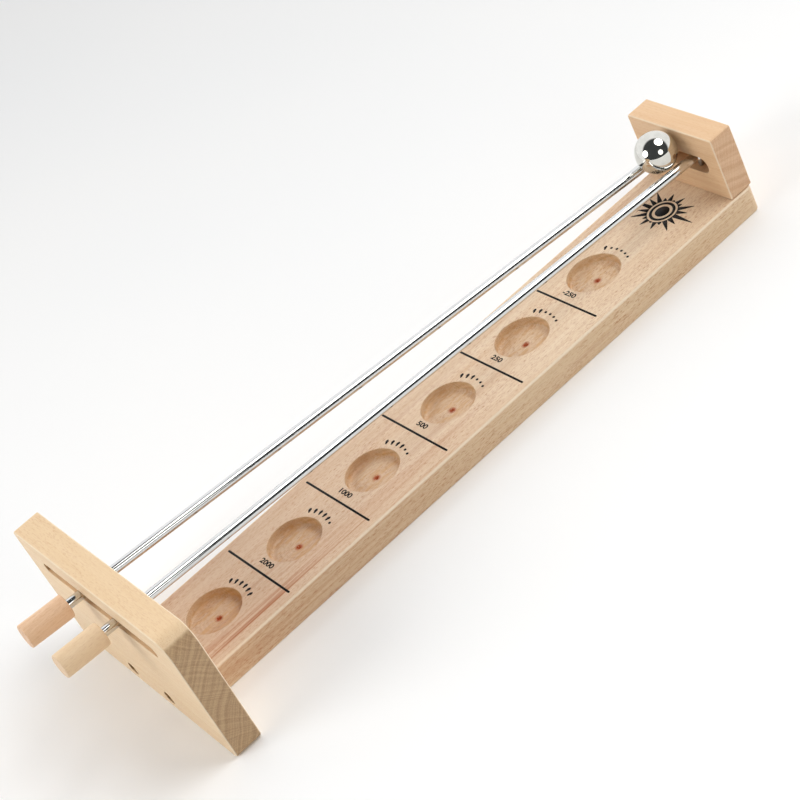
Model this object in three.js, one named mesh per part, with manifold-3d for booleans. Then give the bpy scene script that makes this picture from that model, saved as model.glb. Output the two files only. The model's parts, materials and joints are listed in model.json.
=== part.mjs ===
// A wooden table game of skill: a steel ball is coaxed up two sloping steel rods, which the
// player spreads by their wooden handles, and dropped into one of six scoring pockets.
//
// Frame: millimetres, +Z up, +Y from the player's handles to the rear block, +X to the player's
// right. The origin is under the middle of the whole game, on the table that it stands on.
// Inside this file y is counted from the front end of the base board until the last lines.

import * as THREE from 'three';
import { mergeVertices } from 'three/addons/utils/BufferGeometryUtils.js';
import Module from 'manifold-3d';

const wasm = await Module();
wasm.setup();

// ---- driving dimensions -------------------------------------------------------------------

const SEAT = 0.3;            // space left between pieces that are glued, screwed or resting
const CUT = 1;               // how far a cutting tool runs past the face it enters

const BOARD = { length: 469, width: 79.5, thick: 19.2, edge: 2, endBevel: 1.5 };
const PLATE = { width: 178.5, height: 95, thick: 19, bevel: 0.9 };
const PLATE_CORNER = { topRight: 12.5, topLeft: 2.5, bottom: 4 };
const BLOCK = { width: 78.5, depth: 18, height: 47.5, edge: 1.6, bevel: 0.9 };

const POCKET = { count: 6, radius: 18.3, depth: 7, first: 35.9, spacing: 64.9 };
const PILOT = { radius: 1.7, depth: 3 };          // centre mark left by the pocket cutter

const ROD_RADIUS = 3.175;
const ROD_REAR = { x: 12.5, z: 45.2 };            // rod axis where it meets the rear block's face
const ROD_FRONT = { x: 20.7, z: 76.8 };           // rod axis at the front plate's outer face
const PIVOT_INSET = 6;                            // pivot pins stand this far behind that face
const EYE = { radius: 5, thick: 3.2, neck: 8, neckWidth: 6 };
const PIN = { radius: 1.7, bottom: 20.5, top: 60 };
const ROD_END_IN_HANDLE = 21.5;

const HANDLE = { radius: 7.9, length: 30.2, fromPlate: 10, chamfer: 0.8, boreDepth: 22 };
const BALL = { radius: 14, aboveRods: 12.35 };    // centre above the plane of the rods' axes

const FRONT_SLOT = { halfLength: 65.9, height: 8.6, z: 76.2 };
const REAR_SLOT = { halfLength: 26.8, height: 12.4, z: 42.8, depth: 13 };

const SCREW = { radius: 2, headRadius: 4, headHeight: 3, tipLength: 5 };
const PLATE_SCREW = { x: 21.3, holeRadius: 4.8, holeDepth: 9, length: 34 };
const BLOCK_SCREW = { x: 33, fromBack: 9, holeRadius: 4.8, holeDepth: 5, length: 34 };

const ROUND = 48;            // sides of a large round cut
const SMALL_ROUND = 24;      // sides of rods, bores and pins

// ---- worked-out places --------------------------------------------------------------------

const plateFrontY = -SEAT - PLATE.thick;
const blockFrontY = BOARD.length - BLOCK.depth;
const blockBottomZ = BOARD.thick + SEAT;
const rodRun = blockFrontY - plateFrontY;
const rodRise = (ROD_FRONT.z - ROD_REAR.z) / rodRun;      // climb for each millimetre forward
const rodSpread = (ROD_FRONT.x - ROD_REAR.x) / rodRun;    // outward step likewise
const incline = Math.atan(rodRise);
const splay = Math.atan(rodSpread);
const pivot = {
  x: ROD_REAR.x - PIVOT_INSET * rodSpread,
  y: blockFrontY + PIVOT_INSET,
  z: ROD_REAR.z - PIVOT_INSET * rodRise,
};
const handleStart = (pivot.y - plateFrontY + HANDLE.fromPlate) / Math.cos(incline);

// ---- finishes -----------------------------------------------------------------------------

function finish(color, roughness, metalness = 0) {
  return new THREE.MeshStandardMaterial({ color, roughness, metalness });
}

const boardBeech = () => finish(0xe0c4a4, 0.55);
const plateBeech = () => finish(0xe8cb9c, 0.55);
const blockBeech = () => finish(0xe3bd92, 0.55);
const handleBeech = () => finish(0xd3b088, 0.6);
const chromedSteel = () => finish(0xd9dcdd, 0.08, 1);
const plainSteel = () => finish(0xa9abad, 0.35, 1);

// ---- solids -------------------------------------------------------------------------------

/** A closed geometry as a solid that can be joined and cut. */
function solid(geometry) {
  const bare = geometry.clone();
  bare.deleteAttribute('normal');
  bare.deleteAttribute('uv');
  const merged = mergeVertices(bare, 1e-4);
  return new wasm.Manifold(new wasm.Mesh({
    numProp: 3,
    vertProperties: new Float32Array(merged.attributes.position.array),
    triVerts: new Uint32Array(merged.index.array),
  }));
}

/** A finished solid as a geometry again. */
function shaped(piece) {
  const mesh = piece.getMesh();
  const geometry = new THREE.BufferGeometry();
  geometry.setAttribute('position', new THREE.BufferAttribute(mesh.vertProperties, 3));
  geometry.setIndex(new THREE.BufferAttribute(mesh.triVerts, 1));
  geometry.computeVertexNormals();
  return geometry;
}

/** A round bar along Z whose lower end is at height z. */
function uprightBar(radius, length, x, y, z, sides = SMALL_ROUND, topRadius = radius) {
  const bar = new THREE.CylinderGeometry(topRadius, radius, length, sides);
  bar.rotateX(Math.PI / 2);
  return bar.translate(x, y, z + length / 2);
}

/** A round bar along Y whose front end is at y. */
function levelBar(radius, length, x, y, z, sides = SMALL_ROUND, rearRadius = radius) {
  const bar = new THREE.CylinderGeometry(rearRadius, radius, length, sides);
  return bar.translate(x, y + length / 2, z);
}

/** The outline of a rectangle centred on x, standing on zero, with a radius at each corner. */
function roundedOutline(width, height, corner) {
  const half = width / 2;
  const { topRight, topLeft, bottomRight, bottomLeft } = corner;
  const outline = new THREE.Shape();
  outline.moveTo(-half + bottomLeft, 0);
  outline.lineTo(half - bottomRight, 0);
  outline.absarc(half - bottomRight, bottomRight, bottomRight, -Math.PI / 2, 0);
  outline.lineTo(half, height - topRight);
  outline.absarc(half - topRight, height - topRight, topRight, 0, Math.PI / 2);
  outline.lineTo(-half + topLeft, height);
  outline.absarc(-half + topLeft, height - topLeft, topLeft, Math.PI / 2, Math.PI);
  outline.lineTo(-half, bottomLeft);
  outline.absarc(-half + bottomLeft, bottomLeft, bottomLeft, Math.PI, 1.5 * Math.PI);
  return outline;
}

function evenCorners(radius) {
  return { topRight: radius, topLeft: radius, bottomRight: radius, bottomLeft: radius };
}

/** A piece of stock whose XZ outline runs from y to y + depth, with its end edges eased. */
function stock(outline, y, depth, bevel, curveSegments = 4) {
  const geometry = new THREE.ExtrudeGeometry(outline, {
    depth: depth - 2 * bevel,
    bevelEnabled: true,
    bevelThickness: bevel,
    bevelSize: bevel,
    bevelOffset: -bevel,
    bevelSegments: 2,
    curveSegments,
  });
  geometry.rotateX(Math.PI / 2);
  return geometry.translate(0, y + depth - bevel, 0);
}

/** A long round-ended slot, level and centred on x = 0, cut along Y from y to y + depth. */
function slotCutter(slot, y, depth) {
  const r = slot.height / 2;
  const reach = slot.halfLength - r;
  const outline = new THREE.Shape();
  outline.absarc(reach, 0, r, -Math.PI / 2, Math.PI / 2);
  outline.absarc(-reach, 0, r, Math.PI / 2, 1.5 * Math.PI);
  const cutter = new THREE.ExtrudeGeometry(outline, { depth, bevelEnabled: false, curveSegments: 10 });
  cutter.rotateX(Math.PI / 2);
  return cutter.translate(0, y + depth, slot.z);
}

/** One mesh of the game, named as a maker would name it. */
function piece(name, geometry, material) {
  const mesh = new THREE.Mesh(geometry, material);
  mesh.name = name;
  return mesh;
}

// ---- base board ---------------------------------------------------------------------------

function pocketY(index) {
  return POCKET.first + index * POCKET.spacing;
}

function baseBoard() {
  const corner = evenCorners(BOARD.edge);
  let board = solid(stock(roundedOutline(BOARD.width, BOARD.thick, corner), 0, BOARD.length, BOARD.endBevel));
  const floor = BOARD.thick - POCKET.depth;
  for (let i = 0; i < POCKET.count; i++) {
    board = board.subtract(solid(uprightBar(POCKET.radius, POCKET.depth + CUT, 0, pocketY(i), floor, ROUND)));
    const pilot = uprightBar(0.2, PILOT.depth + CUT, 0, pocketY(i), floor - PILOT.depth, 12,
      PILOT.radius * (1 + CUT / PILOT.depth));
    board = board.subtract(solid(pilot));
  }
  for (const side of [-1, 1]) {
    const plateScrewReach = PLATE_SCREW.length - (PLATE.thick - PLATE_SCREW.holeDepth - SCREW.headHeight);
    const end = levelBar(SCREW.radius + SEAT, plateScrewReach + 2 * CUT, side * PLATE_SCREW.x, -CUT, BOARD.thick / 2);
    board = board.subtract(solid(end));
    const y = BOARD.length - BLOCK_SCREW.fromBack;
    const through = uprightBar(SCREW.radius + SEAT, BOARD.thick + 2 * CUT, side * BLOCK_SCREW.x, y, -CUT);
    const head = uprightBar(BLOCK_SCREW.holeRadius, BLOCK_SCREW.holeDepth + CUT, side * BLOCK_SCREW.x, y, -CUT);
    board = board.subtract(solid(through)).subtract(solid(head));
  }
  return piece('base_board', shaped(board), boardBeech());
}

// ---- front plate --------------------------------------------------------------------------

function frontPlate() {
  const corner = {
    topRight: PLATE_CORNER.topRight,
    topLeft: PLATE_CORNER.topLeft,
    bottomRight: PLATE_CORNER.bottom,
    bottomLeft: PLATE_CORNER.bottom,
  };
  const outline = roundedOutline(PLATE.width, PLATE.height, corner);
  let plate = solid(stock(outline, plateFrontY, PLATE.thick, PLATE.bevel, 8));
  plate = plate.subtract(solid(slotCutter(FRONT_SLOT, plateFrontY - CUT, PLATE.thick + 2 * CUT)));
  for (const side of [-1, 1]) {
    const x = side * PLATE_SCREW.x;
    const z = BOARD.thick / 2;
    const head = levelBar(PLATE_SCREW.holeRadius, PLATE_SCREW.holeDepth + CUT, x, plateFrontY - CUT, z);
    const through = levelBar(SCREW.radius + SEAT, PLATE.thick + 2 * CUT, x, plateFrontY - CUT, z);
    plate = plate.subtract(solid(head)).subtract(solid(through));
  }
  return piece('front_plate', shaped(plate), plateBeech());
}

// ---- rear block ---------------------------------------------------------------------------

function rearBlock() {
  const corner = evenCorners(BLOCK.edge);
  const outline = roundedOutline(BLOCK.width, BLOCK.height, corner);
  const body = stock(outline, blockFrontY, BLOCK.depth, BLOCK.bevel).translate(0, 0, blockBottomZ);
  let block = solid(body);
  block = block.subtract(solid(slotCutter(REAR_SLOT, blockFrontY - CUT, REAR_SLOT.depth + CUT)));
  for (const side of [-1, 1]) {
    const pinHole = uprightBar(PIN.radius + SEAT, PIN.top + SEAT - blockBottomZ + CUT, side * pivot.x, pivot.y,
      blockBottomZ - CUT);
    const screwTop = BLOCK_SCREW.holeDepth - SCREW.headHeight + BLOCK_SCREW.length;
    const screwHole = uprightBar(SCREW.radius + SEAT, screwTop - blockBottomZ + 2 * CUT, side * BLOCK_SCREW.x,
      BOARD.length - BLOCK_SCREW.fromBack, blockBottomZ - CUT);
    block = block.subtract(solid(pinHole)).subtract(solid(screwHole));
  }
  return piece('rear_block', shaped(block), blockBeech());
}

// ---- fasteners and pins -------------------------------------------------------------------

/** A pan-headed wood screw along +Z: its head's face at zero, its point at length. */
function screwSolid(length) {
  const { radius, headRadius, headHeight, tipLength } = SCREW;
  const profile = [
    new THREE.Vector2(0, 0),
    new THREE.Vector2(headRadius * 0.75, 0),
    new THREE.Vector2(headRadius, headHeight * 0.45),
    new THREE.Vector2(headRadius, headHeight),
    new THREE.Vector2(radius, headHeight),
    new THREE.Vector2(radius, length - tipLength),
    new THREE.Vector2(0, length),
  ];
  const body = new THREE.LatheGeometry(profile, SMALL_ROUND).rotateX(Math.PI / 2);
  const arm = new THREE.BoxGeometry(headRadius, 0.9, 1.6);
  const crossed = arm.clone().rotateZ(Math.PI / 2);
  return solid(body).subtract(solid(arm)).subtract(solid(crossed));
}

function plateScrew(side, name) {
  const screw = piece(name, shaped(screwSolid(PLATE_SCREW.length)), plainSteel());
  screw.rotation.x = -Math.PI / 2;
  const headY = plateFrontY + PLATE_SCREW.holeDepth - SCREW.headHeight - SEAT;
  screw.position.set(side * PLATE_SCREW.x, headY, BOARD.thick / 2);
  return screw;
}

function blockScrew(side, name) {
  const screw = piece(name, shaped(screwSolid(BLOCK_SCREW.length)), plainSteel());
  const headZ = BLOCK_SCREW.holeDepth - SCREW.headHeight - SEAT;
  screw.position.set(side * BLOCK_SCREW.x, BOARD.length - BLOCK_SCREW.fromBack, headZ);
  return screw;
}

function pivotPin(side, name) {
  const length = PIN.top - PIN.bottom;
  const pin = piece(name, uprightBar(PIN.radius, length, 0, 0, 0), plainSteel());
  pin.position.set(side * pivot.x, pivot.y, PIN.bottom);
  return pin;
}

// ---- rods, handles and ball ---------------------------------------------------------------

/** The rod about its pivot: a flat drilled eye, a short flat neck, and the sloping round bar. */
function rodSolid() {
  const barLength = handleStart + ROD_END_IN_HANDLE - EYE.neck;
  const bar = new THREE.CylinderGeometry(ROD_RADIUS, ROD_RADIUS, barLength, SMALL_ROUND);
  bar.translate(0, -EYE.neck - barLength / 2, 0);
  const noseProfile = [new THREE.Vector2(0, 0)];
  for (let step = 1; step <= 4; step++) {
    const turn = (step / 4) * (Math.PI / 2);
    noseProfile.push(new THREE.Vector2(ROD_RADIUS * Math.sin(turn), -ROD_RADIUS * (1 - Math.cos(turn))));
  }
  noseProfile.push(new THREE.Vector2(ROD_RADIUS, -ROD_RADIUS - CUT), new THREE.Vector2(0, -ROD_RADIUS - CUT));
  const nose = new THREE.LatheGeometry(noseProfile.reverse(), SMALL_ROUND);
  nose.translate(0, -EYE.neck + ROD_RADIUS * 0.75, 0);
  const neckLength = EYE.neck + CUT;
  const neck = new THREE.BoxGeometry(EYE.neckWidth, neckLength, EYE.thick).translate(0, -neckLength / 2, 0);
  const disc = uprightBar(EYE.radius, EYE.thick, 0, 0, -EYE.thick / 2, ROUND / 2);
  const hole = uprightBar(PIN.radius + SEAT, EYE.thick + 2 * CUT, 0, 0, -EYE.thick / 2 - CUT);
  const sloping = solid(bar.rotateX(-incline)).add(solid(nose.rotateX(-incline)));
  return sloping.add(solid(neck)).add(solid(disc)).subtract(solid(hole));
}

/** A turned dowel handle along -Y, drilled from its near end for the rod. */
function handleGeometry() {
  const { radius, length, chamfer, boreDepth } = HANDLE;
  const bore = ROD_RADIUS + SEAT;
  const profile = [
    new THREE.Vector2(0, boreDepth),
    new THREE.Vector2(bore, boreDepth),
    new THREE.Vector2(bore, 0),
    new THREE.Vector2(radius - chamfer, 0),
    new THREE.Vector2(radius, chamfer),
    new THREE.Vector2(radius, length - chamfer),
    new THREE.Vector2(radius - chamfer, length),
    new THREE.Vector2(0, length),
  ];
  return new THREE.LatheGeometry(profile, 32).rotateX(Math.PI);
}

/** A rod with its handle, hung on its pivot pin and spread outwards to its side. */
function rodAssembly(side, sideName) {
  const assembly = new THREE.Group();
  assembly.position.set(side * pivot.x, pivot.y, pivot.z);
  assembly.rotation.z = side * splay;
  assembly.add(piece(`rod_${sideName}`, shaped(rodSolid()), chromedSteel()));
  const slope = new THREE.Group();
  slope.rotation.x = -incline;
  const handle = piece(`handle_${sideName}`, handleGeometry(), handleBeech());
  handle.position.y = -handleStart;
  slope.add(handle);
  assembly.add(slope);
  return assembly;
}

function steelBall() {
  const ball = piece('ball', new THREE.SphereGeometry(BALL.radius, 40, 26).rotateX(Math.PI / 2), chromedSteel());
  const y = blockFrontY - SEAT - BALL.radius;
  const footY = y - BALL.aboveRods * Math.sin(incline);
  const z = pivot.z + (pivot.y - footY) * rodRise + BALL.aboveRods * Math.cos(incline);
  ball.position.set(0, y, z);
  return ball;
}

// ---- the whole game -----------------------------------------------------------------------

const game = new THREE.Group();
game.add(baseBoard(), frontPlate(), rearBlock(), steelBall());
for (const [side, sideName] of [[-1, 'left'], [1, 'right']]) {
  game.add(plateScrew(side, `plate_screw_${sideName}`));
  game.add(blockScrew(side, `block_screw_${sideName}`));
  game.add(pivotPin(side, `pivot_pin_${sideName}`));
  game.add(rodAssembly(side, sideName));
}

// The origin goes under the middle of the whole length.
const extent = new THREE.Box3().setFromObject(game, true);
game.position.y = -(extent.min.y + extent.max.y) / 2;

export default game;
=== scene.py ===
"""A wooden table game of skill: a steel ball on two rods above a scored beech board.

The rods slope down from a tall front plate to a low rear block, over six scoring pockets. Every
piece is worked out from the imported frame, in metres: +Z up, +Y from the player's handles to the
rear block.
"""

import json
import logging
import math
from dataclasses import dataclass, replace
from enum import Enum
from functools import cache, reduce
from typing import Callable, Iterable, Optional, Sequence

import bmesh
import bpy
import numpy as np
from mathutils import Matrix, Vector
from mathutils.geometry import delaunay_2d_cdt


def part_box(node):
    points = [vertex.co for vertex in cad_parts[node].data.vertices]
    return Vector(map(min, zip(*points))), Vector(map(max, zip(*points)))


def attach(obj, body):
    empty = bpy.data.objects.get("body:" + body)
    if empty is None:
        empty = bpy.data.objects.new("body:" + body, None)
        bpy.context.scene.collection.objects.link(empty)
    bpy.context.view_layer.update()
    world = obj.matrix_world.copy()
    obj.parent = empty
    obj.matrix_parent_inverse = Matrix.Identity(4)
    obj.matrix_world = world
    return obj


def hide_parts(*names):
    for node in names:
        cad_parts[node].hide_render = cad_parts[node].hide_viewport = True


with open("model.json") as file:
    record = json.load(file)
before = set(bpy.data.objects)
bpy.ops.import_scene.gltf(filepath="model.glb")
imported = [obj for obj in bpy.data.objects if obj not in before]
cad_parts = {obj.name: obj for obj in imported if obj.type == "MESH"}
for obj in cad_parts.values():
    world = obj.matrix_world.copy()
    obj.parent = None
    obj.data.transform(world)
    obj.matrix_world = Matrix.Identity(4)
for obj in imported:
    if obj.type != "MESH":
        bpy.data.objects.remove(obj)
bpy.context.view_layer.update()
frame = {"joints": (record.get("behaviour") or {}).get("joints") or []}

log = logging.getLogger("game")

Colour = tuple[float, float, float]
Place = tuple[float, float, float]
Socket = bpy.types.NodeSocket
Swell = Callable[[np.ndarray, np.ndarray], np.ndarray]

MM = 0.001
UP = np.array([0.0, 0.0, 1.0])
SUPPORT = 0.1 * MM           # width of the strip that keeps a flat face flat beside its eased edge
WELD = 2e-6                  # points nearer than this are one point
INK_HEIGHT = 0.045 * MM      # how far printed ink stands above the wood
INK_DEPTH = 0.02 * MM        # how far it soaks in


# ---- colours and choices ------------------------------------------------------------------

class Grain(Enum):
    """The axis that a piece's wood fibres run along."""

    X = 0
    Y = 1
    Z = 2


class Side(Enum):
    """The player's left or right, as a sign along X."""

    LEFT = -1
    RIGHT = 1

    @property
    def word(self) -> str:
        """The side's name as the frame's nodes spell it."""
        return self.name.lower()


def linear(red: int, green: int, blue: int) -> Colour:
    """A display colour as linear light, by the standard curve of a display.

    A level above 0.04045 has 0.055 added, is divided by 1.055 and raised to the power 2.4. A lower
    one is divided by 12.92.

    Args:
        red: The red level, 0 to 255.
        green: The green level.
        blue: The blue level.

    Returns:
        The three levels in linear light, 0 to 1.
    """
    levels = np.array([red, green, blue]) / 255
    bent = ((levels + 0.055) / 1.055) ** 2.4
    return tuple(float(v) for v in np.where(levels > 0.04045, bent, levels / 12.92))


# ---- node trees ---------------------------------------------------------------------------

class Tree:
    """A node tree of a material or of the world, built one node at a time."""

    def __init__(self, tree: bpy.types.NodeTree) -> None:
        """Takes the tree and empties it."""
        self.tree = tree
        self.tree.nodes.clear()

    def node(self, kind: str, inputs: Optional[dict[str | int, object]] = None,
             **settings: object) -> bpy.types.Node:
        """Adds one node.

        Args:
            kind: The node's type name.
            inputs: Values or sockets by input name or number.
            settings: Properties of the node.

        Returns:
            The new node.
        """
        made = self.tree.nodes.new(kind)
        for key, value in settings.items():
            setattr(made, key, value)
        for key, value in (inputs or {}).items():
            self.feed(made.inputs[key], value)
        return made

    def feed(self, socket: Socket, value: object) -> None:
        """Gives an input its value.

        Args:
            socket: The input.
            value: Another node's output to link it to, or a plain value.
        """
        if isinstance(value, Socket):
            self.tree.links.new(value, socket)
        else:
            socket.default_value = value

    def math(self, operation: str, *values: object) -> Socket:
        """One arithmetic step on single numbers."""
        return self.node("ShaderNodeMath", dict(enumerate(values)), operation=operation).outputs[0]

    def share(self, value: object, part: float) -> Socket:
        """A number times a plain one."""
        return self.math("MULTIPLY", value, part)

    def weighed(self, *terms: tuple[object, float]) -> Socket:
        """The sum of numbers, each times its weight."""
        return reduce(lambda total, term: self.math("ADD", total, term),
                      [self.share(value, weight) for value, weight in terms])

    def span(self, value: object, low: float, high: float, to: tuple[float, float] = (0.0, 1.0)) -> Socket:
        """Stretches a number from one span to another, smoothly and held at its ends.

        Args:
            value: The number.
            low: The start of its own span.
            high: The end of its own span.
            to: The start and end of the new span.

        Returns:
            The stretched number.
        """
        inputs = {"Value": value, "From Min": low, "From Max": high, "To Min": to[0], "To Max": to[1]}
        return self.node("ShaderNodeMapRange", inputs, interpolation_type="SMOOTHSTEP").outputs["Result"]

    def mix(self, share: object, first: object, second: object) -> Socket:
        """Mixes two colours.

        Args:
            share: How much of the second shows, 0 to 1.
            first: The first colour, plain or a socket.
            second: The second colour.

        Returns:
            The mixed colour.
        """
        made = self.node("ShaderNodeMix", {0: share}, data_type="RGBA")
        for number, colour in ((6, first), (7, second)):
            self.feed(made.inputs[number], colour if isinstance(colour, Socket) else (*colour, 1.0))
        return made.outputs[2]


class Graph(Tree):
    """A material's node tree, with its principled shader."""

    def __init__(self, name: str) -> None:
        """Starts a material whose principled shader is joined to its output.

        Args:
            name: The material's name.
        """
        self.material = bpy.data.materials.new(name)
        self.material.use_nodes = True
        super().__init__(self.material.node_tree)
        self.shader = self.node("ShaderNodeBsdfPrincipled")
        self.node("ShaderNodeOutputMaterial", {"Surface": self.shader.outputs["BSDF"]})

    def shade(self, inputs: dict[str, object]) -> None:
        """Feeds the shader's inputs by name."""
        for name, value in inputs.items():
            self.feed(self.shader.inputs[name], value)

    def noise(self, vector: object, detail: float = 3.0, rough: float = 0.55) -> Socket:
        """Smooth noise of 0 to 1 at a position that is already scaled."""
        inputs = {"Vector": vector, "Scale": 1.0, "Detail": detail, "Roughness": rough}
        return self.node("ShaderNodeTexNoise", inputs).outputs["Fac"]

    def bands(self, position: object, detail: float = 1.5) -> Socket:
        """Noise along one line, which makes uneven bands across that line."""
        inputs = {"W": position, "Scale": 1.0, "Detail": detail, "Roughness": 0.6}
        return self.node("ShaderNodeTexNoise", inputs, noise_dimensions="1D").outputs["Fac"]

    def trait(self, name: str) -> Socket:
        """A number stored on the piece's points."""
        return self.node("ShaderNodeAttribute", attribute_name=name).outputs["Fac"]

    def place(self, shift: Place = (0.0, 0.0, 0.0)) -> list[Socket]:
        """The piece's own position.

        Args:
            shift: What is added to it.

        Returns:
            Its X, Y and Z.
        """
        where = self.node("ShaderNodeTexCoord").outputs["Object"]
        moved = self.node("ShaderNodeMapping", {"Vector": where, "Location": shift})
        return list(self.node("ShaderNodeSeparateXYZ", {"Vector": moved.outputs["Vector"]}).outputs)

    def scaled(self, parts: Sequence[object], sizes: Sequence[float]) -> Socket:
        """Three numbers, each times its own size, as one vector."""
        grown = [self.share(part, size) for part, size in zip(parts, sizes)]
        return self.node("ShaderNodeCombineXYZ", dict(enumerate(grown))).outputs["Vector"]

    def length(self, vector: object) -> Socket:
        """The length of a vector."""
        return self.node("ShaderNodeVectorMath", {0: vector}, operation="LENGTH").outputs["Value"]

    def bump(self, height: object, distance: float, strength: float) -> None:
        """Raises the surface's normal by a height field."""
        made = self.node("ShaderNodeBump", {"Height": height, "Distance": distance, "Strength": strength})
        self.shade({"Normal": made.outputs["Normal"]})


# ---- wood ---------------------------------------------------------------------------------

@dataclass(frozen=True)
class Layer:
    """One layer of the wood's pattern, which is noise drawn out along the grain.

    Attributes:
        along: Its scale along the grain, per metre.
        across: Its scale across the grain.
        detail: How many finer noises it holds.
        rough: How strong those are.
    """

    along: float
    across: float
    detail: float = 3.0
    rough: float = 0.55


FIBRES = Layer(26.0, 1050.0, detail=4.0)
SOFT_GRAIN = Layer(9.0, 230.0)
FLECKS = Layer(330.0, 2300.0, detail=1.5)
FLECK_PATCHES = Layer(14.0, 60.0, detail=2.0)
STREAKS = Layer(2.6, 70.0, detail=5.0, rough=0.6)
HEART_LINES = Layer(5.0, 330.0)
PORES = Layer(400.0, 2600.0, detail=2.0)
TOOL_MARKS = Layer(110.0, 380.0)
CHAR = Layer(900.0, 900.0)

WOBBLE_SCALE = (4.5, 16.0, 16.0)       # of the rings' slow wobble, per metre
WOBBLE_REACH = 16 * MM                 # how far it moves them
RAY_BANDS = 210.0                      # bands of rays per radian about the pith
EDGE_HIGHLIGHT = linear(252, 238, 214)     # painted highlight along the eased edges
SCORCHED_WOOD = linear(176, 72, 12)    # where the cutter's point burned


@dataclass(frozen=True)
class Beech:
    """Satin beech: uneven growth rings about a pith line, fine fibres, short flecks, streaks.

    Attributes:
        name: The finish's name.
        grain: The axis that the fibres run along.
        pale: The early wood's colour.
        deep: The late wood's colour.
        streak: The colour of the warm streaks.
        end_pale: The lighter colour of cut end grain.
        end_deep: The darker colour of cut end grain.
        flank: Painted light and shade: the colour that the faces beside the broad one lean to, for how the
            light falls on them.
        pith: Where the rings' centre line lies, on the two axes after the grain's, in metres.
        shift: Moves the pattern, so that two pieces of one tree differ.
        cut: The warmer colour of wood inside a hole.
        blush: The warmer colour of the wood's warm end.
        warm_end: From where to where along Y that colour fades, in metres, if it has a warm end.
        heart: From where to where along X the heartwood sets in, if it has any.
        ring_gap: The usual distance between rings.
        streaks: How strong the warm streaks are, 0 to 1.
        flecks: How strong the short flecks are, 0 to 1.
        roughness: The middle of the surface's roughness.
        relief: How deep the fibres lie.
    """

    name: str
    grain: Grain
    pale: Colour
    deep: Colour
    streak: Colour
    end_pale: Colour
    end_deep: Colour
    flank: Colour
    pith: tuple[float, float]
    shift: Place
    cut: Colour = (0.64, 0.34, 0.12)
    blush: Colour = linear(198, 164, 138)
    warm_end: Optional[tuple[float, float]] = None
    heart: Optional[tuple[float, float]] = None
    ring_gap: float = 3.2 * MM
    streaks: float = 0.35
    flecks: float = 0.5
    roughness: float = 0.5
    relief: float = 0.09 * MM

    def dress(self) -> bpy.types.Material:
        """Builds the wood.

        The ring position is the distance from the pith line, after a slow wobble. Noise along
        that position gives the rings, noise stretched along the grain gives fibres and flecks,
        and noise on the angle about the pith gives the rays of the end grain.

        Returns:
            The finished material.
        """
        g = Graph(self.name)
        axes = g.place(self.shift)
        parts = [axes[(self.grain.value + step) % 3] for step in range(3)]
        ring, ray = self.rings(g, parts)
        fibre = self.layer(g, parts, FIBRES)
        fleck = self.fleck(g, parts)
        pore = self.layer(g, parts, PORES)
        long_grain = self.long_grain(g, parts, ring, fibre, fleck)
        ends = g.span(g.trait("end"), 0.66, 0.82)
        colour = g.mix(ends, long_grain, self.end_grain(g, ring, ray, pore))
        g.shade({
            "Base Color": self.worked(g, parts, colour),
            "Roughness": g.span(fibre, 0.25, 0.75, (self.roughness - 0.07, self.roughness + 0.1)),
        })
        g.bump(g.math("SUBTRACT", g.math("ADD", fibre, g.share(pore, 0.4)), fleck), self.relief, 0.45)
        return g.material

    def layer(self, g: Graph, parts: Sequence[Socket], layer: Layer) -> Socket:
        """One layer of the pattern, at a position along the grain and on the two axes across it."""
        sizes = (layer.along, layer.across, layer.across)
        return g.noise(g.scaled(parts, sizes), layer.detail, layer.rough)

    def fleck(self, g: Graph, parts: Sequence[Socket]) -> Socket:
        """The short flecks, which come in patches."""
        patches = g.span(self.layer(g, parts, FLECK_PATCHES), 0.3, 0.7, (0.45, 1.0))
        return g.math("MULTIPLY", g.span(self.layer(g, parts, FLECKS), 0.5, 0.7), patches)

    def long_grain(self, g: Graph, parts: Sequence[Socket], ring: Socket, fibre: Socket,
                   fleck: Socket) -> Socket:
        """The colour of a face along the grain.

        Rings, soft grain and fibres give the tone. The warm end, the painted light and shade of the side
        faces, the streaks with the heart's lines and the flecks are laid over it in turn.

        Args:
            g: The graph to build in.
            parts: The position along the grain and on the two axes across it.
            ring: The rings.
            fibre: The fibres.
            fleck: The flecks.

        Returns:
            The colour.
        """
        soft = self.layer(g, parts, SOFT_GRAIN)
        tone = g.weighed((g.span(ring, 0.3, 0.72), 0.3), (g.span(soft, 0.3, 0.7), 0.26),
                         (g.span(fibre, 0.3, 0.7), 0.4))
        warm, heart = self.zones(g)
        colour = g.mix(tone, self.pale, self.deep)
        colour = g.mix(g.share(warm, 0.5), colour, self.blush)
        # painted light and shade: faces beside the broad one lean to their own colour for how the light falls
        # on them
        colour = g.mix(g.share(g.trait("flank"), 0.42), colour, self.flank)
        streak = g.share(g.span(self.layer(g, parts, STREAKS), 0.56, 0.74), 0.45)
        lines = g.math("MULTIPLY", heart, g.span(self.layer(g, parts, HEART_LINES), 0.47, 0.62))
        colour = g.mix(g.share(g.math("MAXIMUM", streak, lines), self.streaks), colour, self.streak)
        return g.mix(g.share(fleck, self.flecks), colour, self.streak)

    def end_grain(self, g: Graph, ring: Socket, ray: Socket, pore: Socket) -> Socket:
        """The colour of a face across the grain, from rings, rays and pores."""
        tone = g.weighed((g.span(ring, 0.32, 0.68), 0.5), (g.span(ray, 0.35, 0.65), 0.4),
                         (g.math("SUBTRACT", pore, 0.5), 1.6))
        return g.mix(tone, self.end_pale, self.end_deep)

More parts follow.
